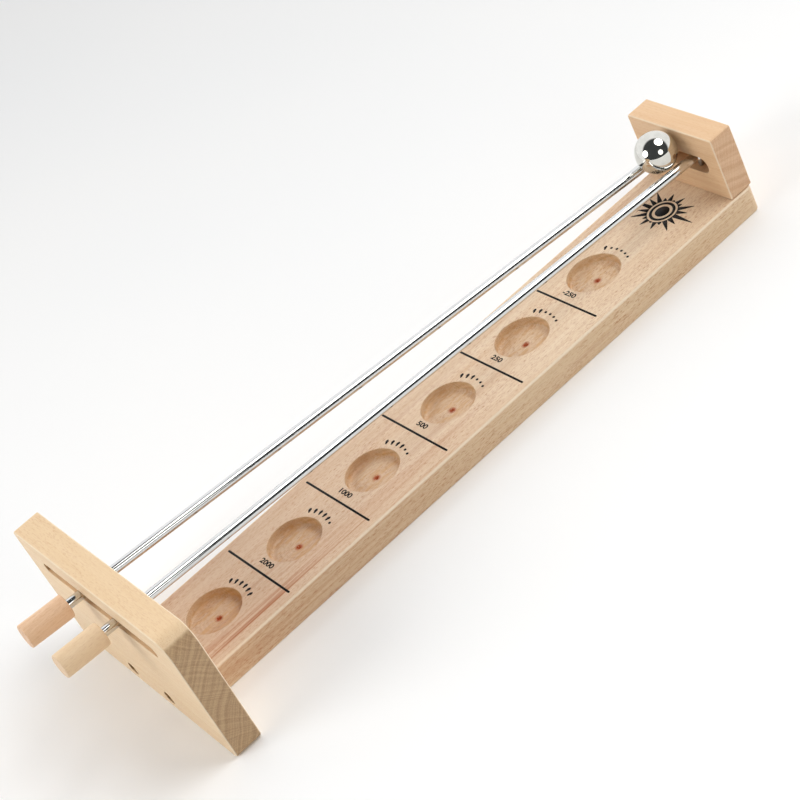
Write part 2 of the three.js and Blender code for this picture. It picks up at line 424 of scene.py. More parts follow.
    def worked(self, g: Graph, parts: Sequence[Socket], colour: Socket) -> Socket:
        """What the workshop did to the wood's colour, and a painted highlight on its eased edges.

        Args:
            g: The graph to build in.
            parts: The position along the grain and on the two axes across it.
            colour: The colour of the wood itself.

        Returns:
            The colour with a painted highlight along eased edges, tool marks inside holes, and scorched
            centre marks.
        """
        # painted highlight: eased edges are mixed towards a pale colour
        colour = g.mix(g.share(g.trait("ease"), 0.62), colour, EDGE_HIGHLIGHT)
        marks = g.span(self.layer(g, parts, TOOL_MARKS), 0.4, 0.68, (0.06, 0.55))
        colour = g.mix(g.math("MULTIPLY", g.trait("cut"), marks), colour, self.cut)
        char = g.span(self.layer(g, parts, CHAR), 0.25, 0.5)
        return g.mix(g.math("MULTIPLY", g.trait("burn"), char), colour, SCORCHED_WOOD)

    def zones(self, g: Graph) -> tuple[object, object]:
        """The warm end and the heartwood.

        The warm end fades away from the player. The heartwood sets in towards the right edge,
        fades sooner, and is weaker on the faces beside the broad one.

        Args:
            g: The graph to build in.

        Returns:
            The two shares, each a socket, or nought where the wood has neither.
        """
        if not (self.warm_end and self.heart):
            return 0.0, 0.0
        x, y, _ = g.place()
        start, end = self.warm_end
        warm = g.math("SUBTRACT", 1.0, g.span(y, start, end))
        reach = g.span(y, start, 0.3 * end, (1.0, 0.0))
        upper = g.span(g.trait("flank"), 0.3, 0.9, (1.0, 0.3))
        heart = g.math("MULTIPLY", g.span(x, *self.heart), g.math("MULTIPLY", reach, upper))
        return warm, heart

    def rings(self, g: Graph, parts: Sequence[Socket]) -> tuple[Socket, Socket]:
        """The growth rings and the rays.

        Args:
            g: The graph to build in.
            parts: The position along the grain and on the two axes across it.

        Returns:
            The rings and the rays.
        """
        inputs = {"Vector": g.scaled(parts, WOBBLE_SCALE), "Scale": 1.0, "Detail": 3.0, "Roughness": 0.5}
        wobble = g.node("ShaderNodeTexNoise", inputs).outputs["Color"]
        lean = g.node("ShaderNodeSeparateXYZ", {"Vector": wobble}).outputs
        offsets = []
        for number, centre in enumerate(self.pith):
            sway = g.share(g.math("SUBTRACT", lean[number], 0.5), WOBBLE_REACH)
            offsets.append(g.math("ADD", g.math("SUBTRACT", parts[number + 1], centre), sway))
        flat = g.node("ShaderNodeCombineXYZ", dict(enumerate(offsets))).outputs["Vector"]
        ring = g.bands(g.math("DIVIDE", g.length(flat), self.ring_gap))
        ray = g.bands(g.share(g.math("ARCTAN2", *offsets), RAY_BANDS), detail=2.0)
        return ring, ray


# ---- metal and ink ------------------------------------------------------------------------

@dataclass(frozen=True)
class Steel:
    """Bright metal with faint marks drawn out along one axis.

    Attributes:
        name: The finish's name.
        colour: The metal's colour.
        roughness: The least and the greatest roughness.
        stretch: The marks' scale along X, Y and Z, per metre.
        relief: The marks' depth in metres.
        cloud: The scale of the soft clouds between the marks, per metre.
    """

    name: str
    colour: Colour
    roughness: tuple[float, float]
    stretch: tuple[float, float, float]
    relief: float
    cloud: tuple[float, float, float] = (60.0, 60.0, 60.0)

    def dress(self) -> bpy.types.Material:
        """Builds the metal: noise stretched along the marks drives roughness and a slight relief.

        Returns:
            The finished material.
        """
        g = Graph(self.name)
        axes = g.place()
        marks = g.noise(g.scaled(axes, self.stretch), detail=4.0)
        worn = g.weighed((marks, 0.6), (g.noise(g.scaled(axes, self.cloud), detail=2.0), 0.4))
        darker = tuple(0.9 * level for level in self.colour)
        g.shade({
            "Base Color": g.mix(g.span(worn, 0.35, 0.65), self.colour, darker),
            "Roughness": g.span(worn, 0.3, 0.7, self.roughness),
            "Metallic": 1.0,
        })
        g.bump(marks, self.relief, 0.3)
        return g.material


@dataclass(frozen=True)
class Ink:
    """Black printing ink that lets a little of the wood's fibre show.

    Attributes:
        name: The finish's name.
        colour: The ink's colour.
        thin: Its colour where a fibre shows through.
        stretch: The fibres' scale along X, Y and Z, per metre.
        relief: The fibres' depth in metres.
    """

    name: str = "print_ink"
    colour: Colour = (0.010, 0.009, 0.009)
    thin: Colour = (0.030, 0.024, 0.020)
    stretch: tuple[float, float, float] = (1300.0, 90.0, 1300.0)
    relief: float = 0.03 * MM

    def dress(self) -> bpy.types.Material:
        """Builds the ink: fine noise stretched along the board thins it in places.

        Returns:
            The finished material.
        """
        g = Graph(self.name)
        fibre = g.noise(g.scaled(g.place(), self.stretch))
        g.shade({
            "Base Color": g.mix(g.span(fibre, 0.55, 0.8), self.colour, self.thin),
            "Roughness": g.span(fibre, 0.3, 0.7, (0.6, 0.75)),
            "Specular IOR Level": 0.2,
        })
        g.bump(fibre, self.relief, 0.3)
        return g.material


Finish = Beech | Steel | Ink

BOARD_WOOD = Beech(
    name="board_beech", grain=Grain.Y, pith=(-0.13, 0.055), shift=(0.0, 0.31, 0.0),
    pale=linear(243, 222, 193), deep=linear(222, 188, 152), streak=linear(172, 96, 44),
    end_pale=linear(226, 198, 162), end_deep=linear(190, 152, 112), flank=linear(212, 180, 134),
    warm_end=(-0.16, 0.17), heart=(0.014, 0.034), streaks=0.95, flecks=0.62,
)
PLATE_WOOD = Beech(
    name="plate_beech", grain=Grain.X, pith=(0.02, -0.14), shift=(0.07, 0.0, 0.0),
    pale=linear(235, 211, 176), deep=linear(225, 195, 155), streak=linear(202, 150, 106),
    end_pale=linear(194, 162, 122), end_deep=linear(158, 124, 87), flank=linear(240, 206, 160),
    ring_gap=2.4 * MM, streaks=0.12, flecks=0.45,
)
BLOCK_WOOD = Beech(
    name="block_beech", grain=Grain.X, pith=(0.21, -0.09), shift=(0.4, 0.0, 0.0),
    pale=linear(236, 203, 164), deep=linear(221, 180, 137), streak=linear(200, 138, 92),
    end_pale=linear(224, 188, 150), end_deep=linear(200, 152, 114), flank=linear(238, 198, 154),
    ring_gap=5.0 * MM, streaks=0.2, flecks=0.3,
)
DOWEL_WOOD = {
    Side.LEFT: Beech(
        name="handle_beech_pink", grain=Grain.Y, pith=(0.02, 0.05), shift=(0.0, 0.9, 0.0),
        pale=linear(240, 206, 172), deep=linear(222, 180, 142), streak=linear(198, 142, 104),
        end_pale=linear(232, 196, 160), end_deep=linear(200, 156, 120), flank=linear(236, 196, 156),
        streaks=0.2, flecks=0.4,
    ),
    Side.RIGHT: Beech(
        name="handle_beech_pale", grain=Grain.Y, pith=(0.05, 0.02), shift=(0.0, 1.7, 0.0),
        pale=linear(240, 215, 180), deep=linear(224, 192, 152), streak=linear(198, 150, 108),
        end_pale=linear(234, 206, 170), end_deep=linear(204, 168, 130), flank=linear(236, 204, 164),
        streaks=0.15, flecks=0.4,
    ),
}
ROD_STEEL = Steel("chromed_rod", (0.74, 0.745, 0.74), (0.05, 0.13), (1500.0, 14.0, 1500.0), 0.004 * MM)
BALL_STEEL = Steel("polished_ball", (0.72, 0.71, 0.66), (0.03, 0.07), (240.0, 240.0, 240.0), 0.001 * MM)
SCREW_STEEL = Steel("plain_steel", (0.46, 0.45, 0.43), (0.28, 0.42), (500.0, 500.0, 500.0), 0.02 * MM)
PRINT_INK = Ink()


# ---- meshes -------------------------------------------------------------------------------

def shown(name: str, data: bpy.types.ID) -> bpy.types.Object:
    """Puts a new object in the scene.

    Args:
        name: The object's name.
        data: Its mesh, text, light or camera.

    Returns:
        The object.
    """
    made = bpy.data.objects.new(name, data)
    bpy.context.scene.collection.objects.link(made)
    return made


def close_seams(mesh: bpy.types.Mesh, weld: float, collapse: float = 0.0) -> None:
    """Welds a mesh's doubled points and turns its faces outwards.

    Args:
        mesh: The mesh.
        weld: Points nearer than this become one.
        collapse: Edges shorter than this are taken out, unless it is nought.
    """
    work = bmesh.new()
    work.from_mesh(mesh)
    bmesh.ops.remove_doubles(work, verts=work.verts, dist=weld)
    if collapse:
        bmesh.ops.dissolve_degenerate(work, edges=work.edges, dist=collapse)
    bmesh.ops.recalc_face_normals(work, faces=work.faces)
    work.to_mesh(mesh)
    work.free()


class Surface:
    """Patches of points that become one closed mesh, with numbers stored on the points."""

    # ease carries the painted highlight of the eased edges; cut and burn carry tool marks and scorching
    TRAITS = ("ease", "cut", "burn")

    def __init__(self) -> None:
        """Starts with no patches."""
        self.points: list[np.ndarray] = []
        self.faces: list[list[int]] = []
        self.traits: dict[str, list[np.ndarray]] = {name: [] for name in self.TRAITS}
        self.count = 0

    def add(self, points: np.ndarray, faces: np.ndarray, **traits: np.ndarray) -> None:
        """Adds points, the faces between them, and what the points carry.

        Args:
            points: The points, one row of three each.
            faces: Rows of point numbers.
            traits: Numbers by name, one for each point.
        """
        flat = points.reshape(-1, 3)
        self.points.append(flat)
        self.faces.extend((faces + self.count).tolist())
        for name in self.TRAITS:
            values = traits.get(name, 0.0)
            self.traits[name].append(np.broadcast_to(values, points.shape[:-1]).reshape(-1))
        self.count += len(flat)

    def grid(self, points: np.ndarray, closed: bool = True, **traits: np.ndarray) -> None:
        """Adds a grid of points as rows of quads.

        Args:
            points: The grid, shape (n, m, 3).
            closed: Whether the last row joins the first.
            traits: Numbers by name, one for each point.
        """
        rows, columns = points.shape[:2]
        index = np.arange(rows * columns).reshape(rows, columns)
        if closed:
            index = np.vstack([index, index[:1]])
        quads = (index[:-1, :-1], index[1:, :-1], index[1:, 1:], index[:-1, 1:])
        self.add(points, np.stack([corner.reshape(-1) for corner in quads], axis=1), **traits)

    def build(self, name: str) -> bpy.types.Object:
        """Welds the patches, turns the faces outwards and makes the piece's object.

        Args:
            name: The piece's name.

        Returns:
            The object, at the origin, with its place in its mesh.
        """
        mesh = bpy.data.meshes.new(name)
        mesh.from_pydata(np.concatenate(self.points).tolist(), [], self.faces)
        for trait, values in self.traits.items():
            layer = mesh.attributes.new(trait, "FLOAT", "POINT")
            layer.data.foreach_set("value", np.concatenate(values).astype(np.float32))
        close_seams(mesh, WELD, WELD / 4)
        mesh.shade_smooth()
        return shown(name, mesh)


# ---- lines --------------------------------------------------------------------------------

CORNER_POINTS = 14           # on each rounded corner of a slab
SIDE_STEP = 6 * MM           # the longest part of a slab's straight edge
SLOT_POINTS = 28             # on each round end of a slot
SLOT_STEP = 3 * MM
CIRCLE_POINTS = 120


def quarter_turn(count: int) -> np.ndarray:
    """Evenly spaced angles from nought to a right angle."""
    return np.linspace(0, math.pi / 2, count)


def full_turn(count: int) -> np.ndarray:
    """Evenly spaced angles round a whole turn."""
    return np.linspace(0, 2 * math.pi, count, endpoint=False)


def directions(angles: np.ndarray) -> np.ndarray:
    """The direction at each angle, shape (n, 2)."""
    return np.stack([np.cos(angles), np.sin(angles)], axis=1)


def quarter(radius: float, steps: int = 6) -> tuple[np.ndarray, np.ndarray]:
    """A quarter circle that turns a flat face into a wall: how far it is from the wall, and its depth."""
    turn = quarter_turn(steps)
    return radius * (1 - np.sin(turn)), radius * (1 - np.cos(turn))


def squared_off(wave: np.ndarray, power: float | np.ndarray) -> np.ndarray:
    """A sine or cosine raised to a power with its sign kept; a low power squares a circle off."""
    return np.sign(wave) * np.abs(wave) ** power


@dataclass(frozen=True)
class Loop:
    """A closed line in a plane, with its outward directions.

    Attributes:
        points: The points, shape (n, 2), in metres.
        normals: The outward direction at each point, shape (n, 2).
    """

    points: np.ndarray
    normals: np.ndarray

    def grown(self, amount: np.ndarray) -> np.ndarray:
        """The line moved outwards: each point plus its direction times the amount, shape (n, m, 2)."""
        steps = np.broadcast_to(amount, (len(self.points), np.shape(amount)[-1]))
        return self.points[:, None, :] + self.normals[:, None, :] * steps[:, :, None]


def joined_arcs(centres: np.ndarray, radii: np.ndarray, starts: np.ndarray, sweep: float,
                arc_points: int, step: float) -> Loop:
    """A loop of arcs joined by straight lines.

    Each arc is its centre plus its radius times the direction at an even run of angles. Each
    straight stretch is divided evenly into parts no longer than the step.

    Args:
        centres: The arcs' centres, shape (k, 2).
        radii: The arcs' radii, shape (k,).
        starts: The arcs' first angles.
        sweep: The angle that each arc turns through.
        arc_points: The points on each arc.
        step: The longest part of a straight stretch.

    Returns:
        The loop, going anticlockwise.
    """
    points, normals = [], []
    for k, (centre, radius, start) in enumerate(zip(centres, radii, starts)):
        outward = directions(start + np.linspace(0, sweep, arc_points))
        arc = centre + radius * outward
        following = (k + 1) % len(centres)
        target = centres[following] + radii[following] * directions(starts[following:following + 1])[0]
        parts = max(1, math.ceil(float(np.linalg.norm(target - arc[-1])) / step))
        share = (np.arange(1, parts) / parts)[:, None]
        points += [arc, arc[-1] + (target - arc[-1]) * share]
        normals += [outward, np.repeat(outward[-1:], parts - 1, axis=0)]
    return Loop(np.concatenate(points), np.concatenate(normals))


def rounded_rectangle(width: float, height: float, radii: Sequence[float]) -> Loop:
    """A rectangle about the origin with rounded corners.

    Args:
        width: Its width.
        height: Its height.
        radii: Its corners' radii: top right, top left, bottom left, bottom right.

    Returns:
        The outline.
    """
    signs = np.array([[1, 1], [-1, 1], [-1, -1], [1, -1]])
    radius = np.array(radii)
    centres = signs * (np.array([width, height]) / 2 - radius[:, None])
    starts = np.arange(4) * math.pi / 2
    return joined_arcs(centres, radius, starts, math.pi / 2, CORNER_POINTS, SIDE_STEP)


def slot_loop(reach: float, radius: float) -> Loop:
    """A round-ended slot about the origin.

    Args:
        reach: Half the distance between the centres of its ends; nought makes a circle.
        radius: Half its width.

    Returns:
        The outline.
    """
    if reach == 0:
        outward = directions(full_turn(CIRCLE_POINTS))
        return Loop(radius * outward, outward)
    centres = np.array([[reach, 0.0], [-reach, 0.0]])
    starts = np.array([-0.5, 0.5]) * math.pi
    return joined_arcs(centres, np.full(2, radius), starts, math.pi, SLOT_POINTS, SLOT_STEP)


# ---- slabs with holes ---------------------------------------------------------------------

FLOOR_ROUND_STEPS = 9        # points from a pocket's wall to its floor
FLOOR_RINGS = 43             # rings of points on the floor
FLOOR_BEGINS = 0.9           # how much of the round's width counts as wall
CUT_FADE = 1 * MM            # how soon below the rim a hole shows its tool marks
TRIANGLE_GAP = 1e-6          # points nearer than this, in millimetres, are one to the filling
SANDING_WAVES = ((9, 0.5, 1), (23, 0.35, 0), (61, 0.15, 2))    # each: how many, share, phase


@dataclass(frozen=True)
class Hole:
    """A hole, slot or pocket cut square into one face of a slab.

    Attributes:
        centre: Its centre on the face.
        radius: Half its width.
        reach: Half the distance between the centres of its round ends.
        depth: How deep it goes; None goes right through.
        ease: The radius of its softened rim.
        round_floor: The radius between its wall and its floor.
        floor: Gives the floor's rise at a distance from the middle and an angle, if it isn't flat.
        burn: Gives the scorching at a distance from the middle, if there is any.
        from_back: True if it is cut into the far face.
    """

    centre: tuple[float, float]
    radius: float
    reach: float = 0.0
    depth: Optional[float] = None
    ease: float = 0.45 * MM
    round_floor: float = 0.6 * MM
    floor: Optional[Swell] = None
    burn: Optional[Callable[[np.ndarray], np.ndarray]] = None
    from_back: bool = False

    def loop(self) -> Loop:
        """The hole's outline where it stands on the face."""
        bare = slot_loop(self.reach, self.radius)
        return Loop(bare.points + np.array(self.centre), bare.normals)

    def profile(self, thickness: float) -> tuple[np.ndarray, np.ndarray]:
        """The wall from the rim inwards: its growth outwards and its depth.

        Args:
            thickness: The slab's thickness.

        Returns:
            Two arrays, growth and depth.
        """
        away, down = quarter(self.ease)
        grow = np.concatenate([[self.ease + SUPPORT], away, [0.0]])
        depth = np.concatenate([[0.0], down, [self.ease + SUPPORT]])
        if self.depth is None:
            return np.concatenate([grow, grow[::-1]]), np.concatenate([depth, thickness - depth[::-1]])
        turn = quarter_turn(FLOOR_ROUND_STEPS)
        rings = np.linspace(self.radius - self.round_floor, 0, FLOOR_RINGS + 1)[1:]
        grow = np.concatenate([grow, self.round_floor * (np.cos(turn) - 1), rings - self.radius])
        depth = np.concatenate([depth, self.depth - self.round_floor * (1 - np.sin(turn)),
                                np.full(FLOOR_RINGS, self.depth)])
        return grow, depth


@dataclass
class Slab:
    """A flat piece of stock with eased edges and holes.

    Its face lies in a plane, with u and v across it and w out of it. The rim is a profile, a
    quarter circle, a straight side and a quarter circle, carried round the outline.

    Attributes:
        outline: The outline at its widest.
        thickness: The distance between its two faces.
        ease: The radius of its eased edges at the near face.
        back_ease: The radius of its eased edges at the far face.
        origin: Where the middle of its near face is.
        axes: The directions of u, v and w in the frame.
        holes: What is cut into it.
        sanding: How unevenly the edges were eased by hand.
    """

    outline: Loop
    thickness: float
    ease: float
    back_ease: float
    origin: Sequence[float]
    axes: Sequence[Sequence[float]]
    holes: Sequence[Hole]
    sanding: float = 0.1

    def placed(self, flat: np.ndarray, height: np.ndarray) -> np.ndarray:
        """Points on the slab as points in the frame: origin plus u, v and w along their directions."""
        local = np.concatenate([flat, np.broadcast_to(height, flat.shape[:-1])[..., None]], axis=-1)
        return np.array(self.origin) + local @ np.array(self.axes, float)

    def rim(self, surface: Surface) -> tuple[np.ndarray, np.ndarray]:
        """Adds the outer wall with its eased edges.

        Args:
            surface: The surface to add to.

        Returns:
            The near and the far end of the wall, each a line on its face, shape (n, 2).
        """
        away, down = quarter(1.0)
        inset = np.concatenate([[1 + SUPPORT / self.ease], away, [0.0]])
        depth = np.concatenate([[0.0], down, [1 + SUPPORT / self.ease]])
        travel = full_turn(len(self.outline.points))
        waves = sum(share * np.sin(count * travel + phase) for count, share, phase in SANDING_WAVES)
        uneven = (1 + self.sanding * waves)[:, None]
        inset, depth = uneven * inset, uneven * depth
        near, far = self.ease, self.back_ease
        walls = [self.outline.grown(-near * inset), self.outline.grown(-far * inset[:, ::-1])]
        flat = np.concatenate(walls, axis=1)
        height = -np.concatenate([near * depth, self.thickness - far * depth[:, ::-1]], axis=1)
        # the painted edge highlight's share, most in the middle of each eased edge
        arc = np.concatenate([[0.0], np.sin(np.linspace(0, math.pi, len(away))), [0.0]])
        surface.grid(self.placed(flat, height), ease=np.concatenate([arc, arc[::-1]]))
        return flat[:, 0], flat[:, -1]

    def bore(self, surface: Surface, hole: Hole) -> tuple[np.ndarray, Optional[np.ndarray]]:
        """Adds one hole's wall, and its floor if it has one.

        Args:
            surface: The surface to add to.
            hole: The hole.

        Returns:
            The hole's rim on the face that it is cut into, and its rim on the other, if any.
        """
        loop = hole.loop()
        grow, depth = hole.profile(self.thickness)
        flat = loop.grown(grow)
        shape = flat.shape[:2]
        height = np.broadcast_to(-depth, shape).copy()
        offset = flat - np.array(hole.centre)
        from_middle = np.hypot(offset[..., 0], offset[..., 1])
        angle = np.broadcast_to(np.arctan2(loop.normals[:, 1], loop.normals[:, 0])[:, None], shape)
        on_floor = np.broadcast_to(grow < -FLOOR_BEGINS * hole.round_floor, shape)
        if hole.floor:
            height += np.where(on_floor, hole.floor(from_middle, angle), 0.0)
        burn = hole.burn(from_middle) * on_floor if hole.burn else np.zeros(shape)
        if hole.from_back:
            height = -self.thickness - height
        cut = np.clip((depth - hole.ease) / CUT_FADE, 0, 1)
        surface.grid(self.placed(flat, height), cut=cut, burn=burn)
        return flat[:, 0], flat[:, -1] if hole.depth is None else None

    def face(self, surface: Surface, loops: list[np.ndarray], height: float) -> None:
        """Fills a flat face between its outer line and the rims of its holes.

        Args:
            surface: The surface to add to.
            loops: The outer line, and then each rim.
            height: The face's place along w.
        """
        sizes = [len(line) for line in loops]
        starts = np.concatenate([[0], np.cumsum(sizes)])
        owner = np.repeat(np.arange(len(loops)), sizes)
        points = np.concatenate(loops)
        index = np.arange(len(points))
        following = np.where(np.isin(index + 1, starts), starts[owner], index + 1)
        edges = np.stack([index, following], axis=1).tolist()
        triangles = np.array(delaunay_2d_cdt((points / MM).tolist(), edges, [], 1, TRIANGLE_GAP)[2])
        kinds = owner[triangles]
        in_hole = (kinds.min(1) == kinds.max(1)) & (kinds[:, 0] > 0)
        surface.add(self.placed(points, np.array(height)), triangles[~in_hole])

    def build(self, name: str) -> bpy.types.Object:
        """Makes the slab as one closed piece.

        Args:
            name: The piece's name.

        Returns:
            The piece.
        """
        surface = Surface()
        near, far = self.rim(surface)
        near_loops, far_loops = [near], [far]
        for hole in self.holes:
            mouth, exit_rim = self.bore(surface, hole)
            (far_loops if hole.from_back else near_loops).append(mouth)
            if exit_rim is not None:
                far_loops.append(exit_rim)
        self.face(surface, near_loops, 0.0)
        self.face(surface, far_loops, -self.thickness)
        return surface.build(name)


# ---- turned pieces ------------------------------------------------------------------------

def spun(profile: np.ndarray, base: np.ndarray, axis: np.ndarray, sides: int,
         swell: Optional[Swell] = None) -> np.ndarray:
    """The points of a piece turned about an axis.

    Each point is the base, plus its distance along the axis, plus its radius times the direction
    at its angle. A swell adds to the radius at each angle and distance.

    Args:
        profile: Rows of radius and distance along the axis; it starts and ends on the axis.
        base: Where the axis starts.
        axis: The axis's direction, of length one.
        sides: How many angles there are.
        swell: Gives the addition to the radius.

    Returns:
        The grid of points, shape (sides, n, 3).
    """
    level = UP if abs(axis[2]) < 0.9 else np.array([1.0, 0.0, 0.0])
    across = np.cross(axis, level)
    across /= np.linalg.norm(across)
    upward = np.cross(across, axis)
    angle = full_turn(sides)[:, None]
    radius = np.broadcast_to(profile[:, 0], (sides, len(profile))).copy()
    distance = np.broadcast_to(profile[:, 1], radius.shape)
    if swell:
        radius += swell(np.broadcast_to(angle, radius.shape), distance) * (radius > 0)
    outward = across * np.cos(angle)[..., None] + upward * np.sin(angle)[..., None]
    return base + axis * distance[..., None] + outward * radius[..., None]


def woven(name: str, *grids: np.ndarray) -> bpy.types.Object:
    """A piece made of closed grids of points.

    Args:
        name: The piece's name.
        grids: The grids, each of shape (n, m, 3).

    Returns:
        The piece.
    """
    surface = Surface()
    for grid in grids:
        surface.grid(grid)
    return surface.build(name)


# ---- putting pieces in the scene ----------------------------------------------------------

@cache
def material_of(finish: Finish) -> bpy.types.Material:
    """A finish's material, built once."""
    return finish.dress()


def store_facing(mesh: bpy.types.Mesh, grain: Grain) -> None:
    """Stores how squarely each point's surface cuts the grain, and how far it is beside the broad face.

    Args:
        mesh: The mesh.
        grain: The axis of its wood.
    """
    normals = np.zeros(len(mesh.vertices) * 3, np.float32)
    mesh.vertex_normals.foreach_get("vector", normals)
    normals = np.abs(normals.reshape(-1, 3))
    flank = normals[:, 2] if grain is Grain.X else normals[:, 0]
    # flank is how far a face is beside the broad one; it carries the painted light and shade of those faces
    for trait, values in (("end", normals[:, grain.value]), ("flank", flank)):
        layer = mesh.attributes.new(trait, "FLOAT", "POINT")
        layer.data.foreach_set("value", np.ascontiguousarray(values))


def settle(piece: bpy.types.Object, finish: Finish, body: str, nodes: Iterable[str] = ()) -> None:
    """Dresses a piece, makes it ride on its body and stand for its CAD nodes.

    Args:
        piece: The piece.
        finish: Its finish, whose name is also its material slot.
        body: The body that it moves with.
        nodes: The CAD nodes that it stands for.
    """
    piece.data.materials.append(material_of(finish))
    if isinstance(finish, Beech):
        store_facing(piece.data, finish.grain)
    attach(piece, body)
    if nodes:
        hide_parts(*nodes)
    log.info("%s: %d faces, rides on %s", piece.name, len(piece.data.polygons), body)


def corners(node: str) -> tuple[np.ndarray, np.ndarray]:
    """A CAD node's lowest and highest corners as arrays."""
    low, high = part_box(node)
    return np.array(low), np.array(high)


def joint_place(name: str) -> np.ndarray:
    """Where a joint of the record stands."""
    return np.array(next(j for j in frame["joints"] if j["name"] == name)["pos_m"], float)


# ---- base board ---------------------------------------------------------------------------

@dataclass
class BaseBoard:
    """The long board with its six pockets.

    Attributes:
        pockets: How many pockets there are.
        first: From the board's front end to the first pocket's centre.
        spacing: From one pocket's centre to the next.
        radius: A pocket's radius.
        depth: A pocket's depth.
        floor_round: The radius between a pocket's wall and its floor.
        pilot_radius: The radius of the cutter's centre mark at the floor.
        pilot_depth: How far that mark goes below the floor.
        ring_relief: The height of the rings that the cutter leaves.
        ring_step: The distance along the floor in which a ring's wave turns by one radian.
        swirl_relief: The height of the slow swirl under them.
        swirl_step: The same distance for the swirl.
        wall_fade: The distance over which both fade out before the wall.
        middle_fade: The distance over which they fade out at the middle.
        ease: The radius of the board's eased upper edges.
        under_ease: The radius of its lower edges.
        corner_radii: The radii of its corners seen from above, the two at the rear first.
        screw_inset: From the board's rear end to the screws that hold the block.
        screw_spread: From the middle to each of those screws.
        counterbore: The radius of the hole for a screw's head.
        counterbore_depth: How deep that hole goes.
        counterbore_ease: The radius of its softened rim.
    """

    pockets: int = 6
    first: float = 35.9 * MM
    spacing: float = 64.9 * MM
    radius: float = 18.3 * MM
    depth: float = 7 * MM
    floor_round: float = 2.2 * MM
    pilot_radius: float = 1.7 * MM
    pilot_depth: float = 1.9 * MM
    ring_relief: float = 0.06 * MM
    ring_step: float = 0.42 * MM
    swirl_relief: float = 0.09 * MM
    swirl_step: float = 2.1 * MM
    wall_fade: float = 2 * MM
    middle_fade: float = 3 * MM
    ease: float = 1.7 * MM
    under_ease: float = 0.9 * MM
    corner_radii: tuple[float, float, float, float] = (5.5 * MM, 5.5 * MM, 2.6 * MM, 2.6 * MM)
    screw_inset: float = 9 * MM
    screw_spread: float = 33 * MM
    counterbore: float = 4.8 * MM
    counterbore_depth: float = 5 * MM
    counterbore_ease: float = 0.3 * MM

    def __post_init__(self) -> None:
        """Reads the board's corners from the frame."""
        self.low, self.high = corners("base_board")

    def centre_of(self, pocket: int) -> float:
        """A pocket's place along Y; the pocket nearest the player is number nought."""
        return float(self.low[1]) + self.first + pocket * self.spacing

    def floor_rise(self, pocket: int) -> Swell:
        """The shape of one pocket's floor.

        Fine rings with a slow wave about the middle are what the turning cutter leaves, and a
        ragged cone sinks at the centre where its point went in.

        Args:
            pocket: The pocket's number, which makes its marks differ.

        Returns:
            A function of distance from the middle and angle that gives the rise.
        """
        turn = 1.7 * pocket

        def rise(distance: np.ndarray, angle: np.ndarray) -> np.ndarray:
            """The rings and the swirl, faded at the wall and the middle, less the cone.

            Args:
                distance: The distance from the pocket's middle.
                angle: The angle about it.

            Returns:
                The rise above the flat floor.
            """
            rings = self.ring_relief * np.sin(distance / self.ring_step + 2.2 * np.sin(angle + turn))
            swirl = self.swirl_relief * np.sin(3 * angle + distance / self.swirl_step + turn)
            ragged = self.pilot_radius * (1 + 0.22 * np.sin(3 * angle + turn) + 0.12 * np.sin(7 * angle))
            cone = self.pilot_depth * np.clip(1 - distance / ragged, 0, 1)
            fade = np.clip((self.radius - self.floor_round - distance) / self.wall_fade, 0, 1)
            fade *= np.clip(distance / self.middle_fade, 0, 1)
            return (rings + swirl) * fade - cone

        return rise

    def scorch(self, distance: np.ndarray) -> np.ndarray:
        """The reddish burn of the cutter's point: full in the middle, gone a little outside the cone."""
        return np.clip(1.7 - distance / (1.15 * self.pilot_radius), 0, 1)

    def build(self) -> None:
        """Makes the board as a slab whose face is its top."""
        size, middle = self.high - self.low, (self.low + self.high) / 2
        pockets = [
            Hole((0.0, self.centre_of(pocket) - middle[1]), self.radius, depth=self.depth,
                 round_floor=self.floor_round, floor=self.floor_rise(pocket), burn=self.scorch)
            for pocket in range(self.pockets)
        ]
        counterbores = [
            Hole((side.value * self.screw_spread, size[1] / 2 - self.screw_inset), self.counterbore,
                 depth=self.counterbore_depth, ease=self.counterbore_ease, from_back=True)
            for side in Side
        ]
        slab = Slab(
            outline=rounded_rectangle(size[0], size[1], self.corner_radii),
            thickness=size[2], ease=self.ease, back_ease=self.under_ease,
            origin=(middle[0], middle[1], self.high[2]),
            axes=((1, 0, 0), (0, 1, 0), (0, 0, 1)), holes=pockets + counterbores,
        )
        settle(slab.build("board"), BOARD_WOOD, "base", ["base_board"])


# ---- front plate and rear block -----------------------------------------------------------

def upright(node: str, corner_radii: Sequence[float], ease: float, holes: Sequence[Hole]) -> Slab:
    """A slab that stands in a CAD node's place and faces the player.

    Args:
        node: The CAD node.
        corner_radii: The radii of its corners seen from the player.
        ease: The radius of its eased edges.
        holes: What is cut into it, with each centre as an X and a height above the table.

    Returns:
        The slab.
    """
    low, high = corners(node)
    size, middle = high - low, (low + high) / 2
    return Slab(
        outline=rounded_rectangle(size[0], size[2], corner_radii),
        thickness=size[1], ease=ease, back_ease=ease,
        origin=(middle[0], low[1], middle[2]),
        axes=((1, 0, 0), (0, 0, 1), (0, -1, 0)),
        holes=[replace(hole, centre=(hole.centre[0], hole.centre[1] - middle[2])) for hole in holes],
    )


